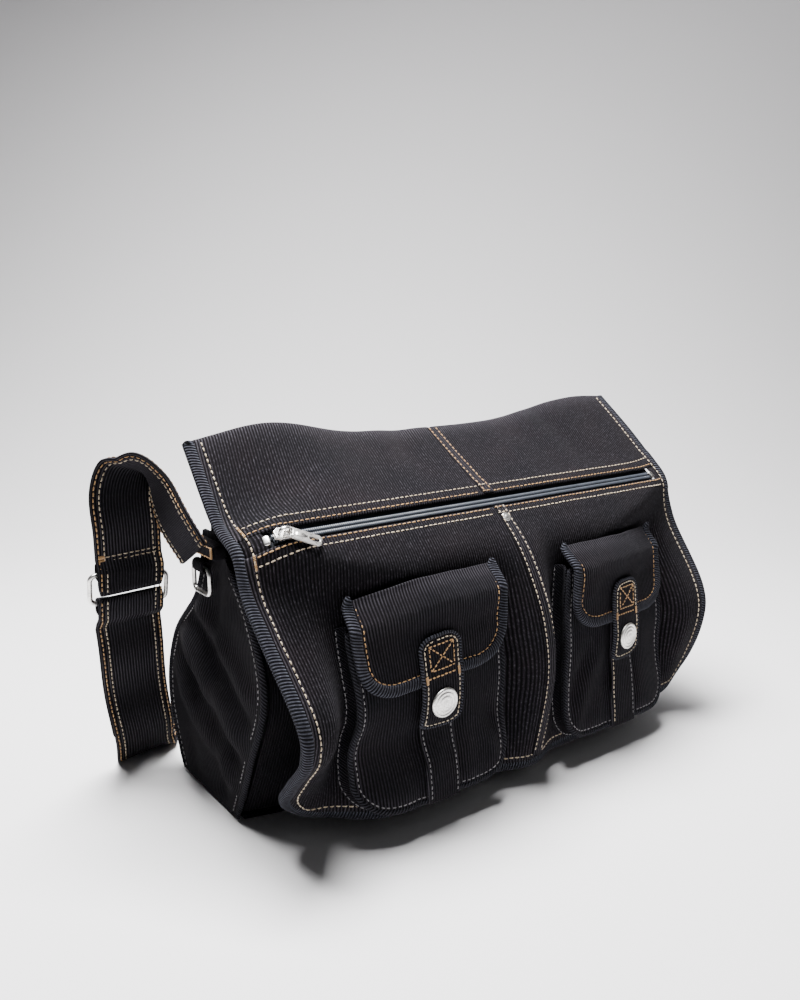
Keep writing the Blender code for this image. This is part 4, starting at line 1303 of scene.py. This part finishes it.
def folded_loop(name, spot, half, count, size, thick):
    """A band folded round a bar and closed in a loop of the given radius and stretch."""
    radius, stretch = size
    shape = []
    for k in range(24):
        a = TAU * k / 24
        shape.append((radius * math.cos(a), radius * math.sin(a)
                      + stretch * smooth_step(-0.2, 0.4, math.sin(a))))
    shape.append(shape[0])
    widths = steps(-half, half, count)
    return grid(name, [[spot(w, u, v) for u, v in shape] for w in widths],
                [[(w, k * 1.6) for k in range(len(shape))] for w in widths], thick, closed=True)


def strap_anchor(side, sign):
    """A rolled webbing end, pinched a little at both of its ends."""
    verts = []
    uvs = []
    wide = 29
    for along in steps(0, 1, 30):
        y = -22.0 + 40.0 * along
        end = min(along, 1 - along) * 40.0
        pinch = 1.0 if end > 3.0 else 0.62 + 0.38 * math.sqrt(max(1 - (1 - end / 3.0) ** 2, 0.0))
        for k, (u, v) in enumerate((pill(10.4, 10.4, wide - 1, 3.4) * 2)[:wide]):
            size = pinch * (1 + 0.04 * soft(y / 7, u, v))
            verts.append(Vector((sign * (ANCHOR_X + u * size), y, ANCHOR_Z + v * size)))
            uvs.append((y, k * 1.4))
    count = len(verts) // wide
    faces = lattice(count, wide)
    faces += [tuple(range(wide - 1)), tuple(range((count - 1) * wide, len(verts) - 1))]
    anchor = mesh_from("cloth_strap_anchor_" + side, verts, faces, uvs, weld=True)
    register(anchor, "body", STRAP_CORD, "strap_anchor_" + side)


def build_side(side, sign):
    strap_anchor(side, sign)
    out = Vector((sign, 0, 0))
    x = sign * 200.0
    for z in (184.8, 191.4):
        path = [Vector((x, y, z)) for y in steps(-20, 16, 20)]
        threads("body", "gold").run(path, [out] * len(path), 2.6, 1.1, 0.44)
    for y in (-20.2, 16.2):
        threads("body", "gold").bar(Vector((x, y, 184.5)), Vector((x, y, 191.7)), out, 2.6, 9)
    place = Vector((sign * RING_PLACE.x, RING_PLACE.y, RING_PLACE.z))
    loop = folded_loop("cloth_ring_loop_" + side, lambda w, u, v: place + Vector((u, w, v)),
                       8, 6, (2.9, 2.0), 1.3)
    register(loop, "body", STRAP_CORD, "ring_loop_" + side)
    points = [place + Vector((0, u, v - 8.5)) for u, v in rounded_loop(24.0, 17.0, 4.2, 8)]
    ring_wire("ring_" + side, points, 1.5, "side_ring_" + side, "side_ring_" + side)


UPPER_STRAP = (
    ((-202.6, -1.0, 184.0), (0.0, 0.90, -0.43)),
    ((-209.6, 10.0, 203.0), (0.0, 0.90, -0.43)),
    ((-212.7, 27.0, 222.0), (0.1, 0.90, -0.43)),
    ((-216.5, 42.0, 234.0), (0.44, 0.80, -0.45)),
    ((-222.0, 50.0, 234.0), (0.95, 0.3, -0.3)),
    ((-227.0, 50.5, 219.0), (1.0, 0.0, -0.15)),
    ((-225.5, 53.0, 195.0), (1.0, 0.0, -0.1)),
    ((-224.4, 56.0, 174.5), (1.0, 0.0, -0.1)),
)
MAIN_STRAP = (
    ((-222.1, 71.2, 125.3), (1.0, 0.0, -0.1)),
    ((-219.0, 77.0, 105.0), (1.0, 0.0, -0.1)),
    ((-214.0, 88.0, 66.0), (1.0, 0.0, -0.1)),
    ((-207.0, 96.0, 28.0), (1.0, 0.05, 0.0)),
    ((-202.0, 108.0, 5.5), (1.0, 0.12, 0.0)),
    ((-190.0, 130.0, 1.9), (0.85, 0.5, 0.0)),
    ((-160.0, 153.0, 1.9), (0.4, 0.9, 0.0)),
    ((-110.0, 163.0, 1.9), (0.05, 1.0, 0.0)),
    ((-40.0, 164.0, 1.9), (0.0, 1.0, 0.0)),
    ((40.0, 164.0, 1.9), (0.0, 1.0, 0.0)),
    ((110.0, 163.0, 1.9), (-0.05, 1.0, 0.0)),
    ((162.0, 151.0, 1.9), (-0.45, 0.9, 0.0)),
    ((194.0, 126.0, 2.2), (-0.9, 0.45, 0.0)),
    ((210.0, 101.0, 9.0), (-1.0, 0.15, 0.0)),
    ((219.0, 86.0, 45.0), (-1.0, 0.0, 0.1)),
    ((222.0, 72.0, 92.0), (-0.98, -0.2, 0.1)),
    ((218.5, 52.0, 134.0), (-0.4, -0.8, -0.4)),
    ((210.0, 23.0, 165.0), (0.0, -0.75, -0.65)),
    ((202.6, 0.0, 190.0), (0.0, -0.75, -0.65)),
)
TAIL_SHARE = 12 / 4        # the doubled end covers this many stations of the main strap
RING_MIDDLE = Vector((-223.4, 62.8, 150.6))
RING_WIDE = Vector((1.0, 0.0, -0.1)).normalized()
RING_DOWN = Vector((0.05, 0.31, -0.95)).normalized()
RING_BARS = 11.3


def strap_track(spots, last=None, count=14):
    """Centres, width directions and face normals along a length of the strap."""
    knots = [float(i) for i in range(len(spots))]
    last = last or len(spots) - 1
    centres, wides = [
        [Vector([curve_through(knots, [s[part][a] for s in spots], at) for a in range(3)])
         for at in steps(0, last, int(last * count))] for part in (0, 1)]
    normals = []
    for i, wide in enumerate(wides):
        ahead = centres[min(i + 1, len(centres) - 1)] - centres[max(i - 1, 0)]
        ahead.normalize()
        wide.normalize()
        wide -= ahead * wide.dot(ahead)
        wide.normalize()
        normals.append(ahead.cross(wide))
    return centres, wides, normals


def strap_length(name, track, thick, faces, node):
    """One length of webbing with its rows of stitches along both rims."""
    centres, wides, normals = track
    edging(name, (centres, normals), (STRAP_WIDTH - 0.6, thick, 26, 5.0), "strap", STRAP_CORD,
           lambda u, v: 0.22 + 0.18 * math.sin(v * 0.11), node, floor=True, ends=(2, 0.93))
    for face in faces:
        for off, colour in ((-20.4, "gold"), (-16.6, "cream"), (16.6, "cream"), (20.4, "gold")):
            path = []
            for c, w, n in zip(centres, wides, normals):
                p = c + w * off + n * face * (thick / 2 + 0.15)
                p.z = max(p.z, 0.8)
                path.append(p)
            threads("strap", colour).run(path, [n * face for n in normals], 2.8, 1.15, 0.42)


def past_bar(track, at_end):
    """Lengthen the webbing over the front of its fold, to a hem past the ring's bar."""
    centres, wides, normals = track
    bar = -RING_BARS if at_end else RING_BARS
    front = RING_WIDE.cross(RING_DOWN) * -5.4
    along = RING_DOWN * (1 if at_end else -1)
    middle = RING_MIDDLE + RING_DOWN * bar + front
    added = [middle + along * d for d in (-7.0, -3.0, 1.0, 5.0, HEM_REACH)]
    if not at_end:
        return (added[::-1] + centres, wides[:1] * 5 + wides, normals[:1] * 5 + normals)
    return (centres + added, wides + wides[-1:] * 5, normals + normals[-1:] * 5)


def build_strap():
    both = (-1, 1)
    upper = past_bar(strap_track(UPPER_STRAP), True)
    strap_length("webbing_upper", upper, STRAP_THICK, both, "strap_upper")
    main = past_bar(strap_track(MAIN_STRAP), False)
    strap_length("webbing_main", main, STRAP_THICK, both, "strap_main")
    centres, wides, normals = strap_track(MAIN_STRAP, TAIL_SHARE)
    tail = ([c - n * 3.1 for c, n in zip(centres, normals)], wides, normals)
    strap_length("webbing_tail", tail, TAIL_THICK, (-1,), "strap_tail")
    from_end = [part[::-1] for part in upper]
    cross_rows(from_end, -1.0, (24.0, 27.6), STRAP_THICK)
    cross_rows(from_end, 1.0, (24.0, 27.6), STRAP_THICK)
    cross_rows(tail, -1.0, (8.0, 11.6), TAIL_THICK)
    points = [RING_MIDDLE + RING_WIDE * u + RING_DOWN * v
              for u, v in rounded_loop(53.0, 2 * RING_BARS, 4.6, 8)]
    ring_wire("ring_strap", points, 1.7, "strap", "strap_ring")
    outward = RING_WIDE.cross(RING_DOWN)
    for name, way in (("upper", -1), ("lower", 1)):
        middle = RING_MIDDLE + RING_DOWN * (way * RING_BARS)
        away = RING_DOWN * way
        fold = folded_loop("webbing_fold_" + name,
                           lambda w, u, v: middle + RING_WIDE * w + outward * u + away * v,
                           22.4, 14, (3.2, 5.0), 1.9)
        register(fold, "strap", STRAP_CORD, "strap_fold_" + name)


def cross_rows(track, face, distances, thick):
    """Rows of stitches across the webbing, with a bartack at one rim."""
    centres, wides, normals = track
    for d in distances:
        run = 0.0
        i = 1
        while i < len(centres) - 1 and run + (centres[i] - centres[i - 1]).length < d:
            run += (centres[i] - centres[i - 1]).length
            i += 1
        up = normals[i] * face
        middle = centres[i] + up * (thick / 2 + 0.15)
        path = [middle + wides[i] * w for w in steps(-20, 20, 12)]
        threads("strap", "cream").run(path, [up] * len(path), 2.8, 1.1, 0.46)
        threads("strap", "gold").bar(middle - wides[i] * 20.5, middle - wides[i] * 16.5, up, 2.6, 6)


# --------------------------------------------------------- camera and studio
VIEW_TURN = math.radians(-37.18)
AHEAD = Vector((-math.sin(VIEW_TURN), math.cos(VIEW_TURN), 0.0))
ASIDE = Vector((math.cos(VIEW_TURN), math.sin(VIEW_TURN), 0.0))
PAPER = (0.8, 0.79, 0.8)
PAPER_CURVE = 1.1         # radius between floor and wall, metres


def build_camera():
    data = bpy.data.cameras.new("camera")
    data.lens = 31.25
    data.sensor_width = 36.0
    camera = linked("camera", data)
    camera.location = (-0.4201, -0.50385, 0.3291)
    camera.rotation_euler = (math.radians(78.34), 0.0, VIEW_TURN)
    bpy.context.scene.camera = camera


def build_stage():
    """A seamless paper sweep: floor, a wide curve and a wall."""
    profile = [(-2.2, 0.0), (-1.0, 0.0), (0.0, 0.0), (0.5, 0.0)]
    for k in range(1, 25):
        a = math.pi / 2 * k / 24
        profile.append((0.5 + PAPER_CURVE * math.sin(a), PAPER_CURVE - PAPER_CURVE * math.cos(a)))
    profile += [(1.6, 2.2), (1.6, 4.0)]
    verts = []
    uvs = []
    for ahead, up in profile:
        for aside in (-4.0, 4.0):
            verts.append((AHEAD * ahead + ASIDE * aside + Vector((0, 0, up))) / MM)
            uvs.append((aside / MM, (ahead + up) / MM))
    sheet = mesh_from("paper_sweep", verts, lattice(len(profile), 2), uvs)
    look = fibrous("studio_paper", "paper", (2.0,), tuple(c * 0.985 for c in PAPER), PAPER, 0.05,
                   Roughness=0.9, Specular_IOR_Level=0.2)
    sheet.data.materials.append(look[0])


def soft_light(name, place, size, power):
    """A square bank aimed at the bag's middle."""
    data = bpy.data.lights.new(name, "AREA")
    data.shape = "RECTANGLE"
    data.size = data.size_y = size
    data.energy = power
    lamp = linked(name, data)
    lamp.location = place
    aim = Vector((0.0, 0.0, 0.1)) - Vector(place)
    lamp.rotation_euler = aim.to_track_quat("-Z", "Y").to_euler()


def build_lights():
    soft_light("overhead_bank", (-0.13, 0.13, 1.25), 0.6, 86.0)
    soft_light("side_bank", AHEAD * -0.9 + ASIDE + Vector((0, 0, 1.1)), 1.0, 1.2)
    world = bpy.data.worlds.new("studio")
    world.use_nodes = True
    back = world.node_tree.nodes["Background"]
    back.inputs["Color"].default_value = (0.95, 0.96, 1.0, 1.0)
    back.inputs["Strength"].default_value = 0.05
    bpy.context.scene.world = world


# ------------------------------------------------------------------ assembly
build_camera()
build_flap()
build_zip()
build_rivet()
for pocket_side in POCKET_X:
    build_pocket(pocket_side)
    snap_inner(pocket_side)
build_body()
for bag_side, direction in SIDES:
    build_side(bag_side, direction)
build_strap()
for (thread_body, thread_colour), stitches in THREADS.items():
    piece = mesh_from("thread_%s_%s" % (thread_colour, thread_body), stitches.verts,
                      stitches.faces, stitches.uvs)
    register(piece, thread_body, COLOURS[thread_colour])
build_stage()
build_lights()
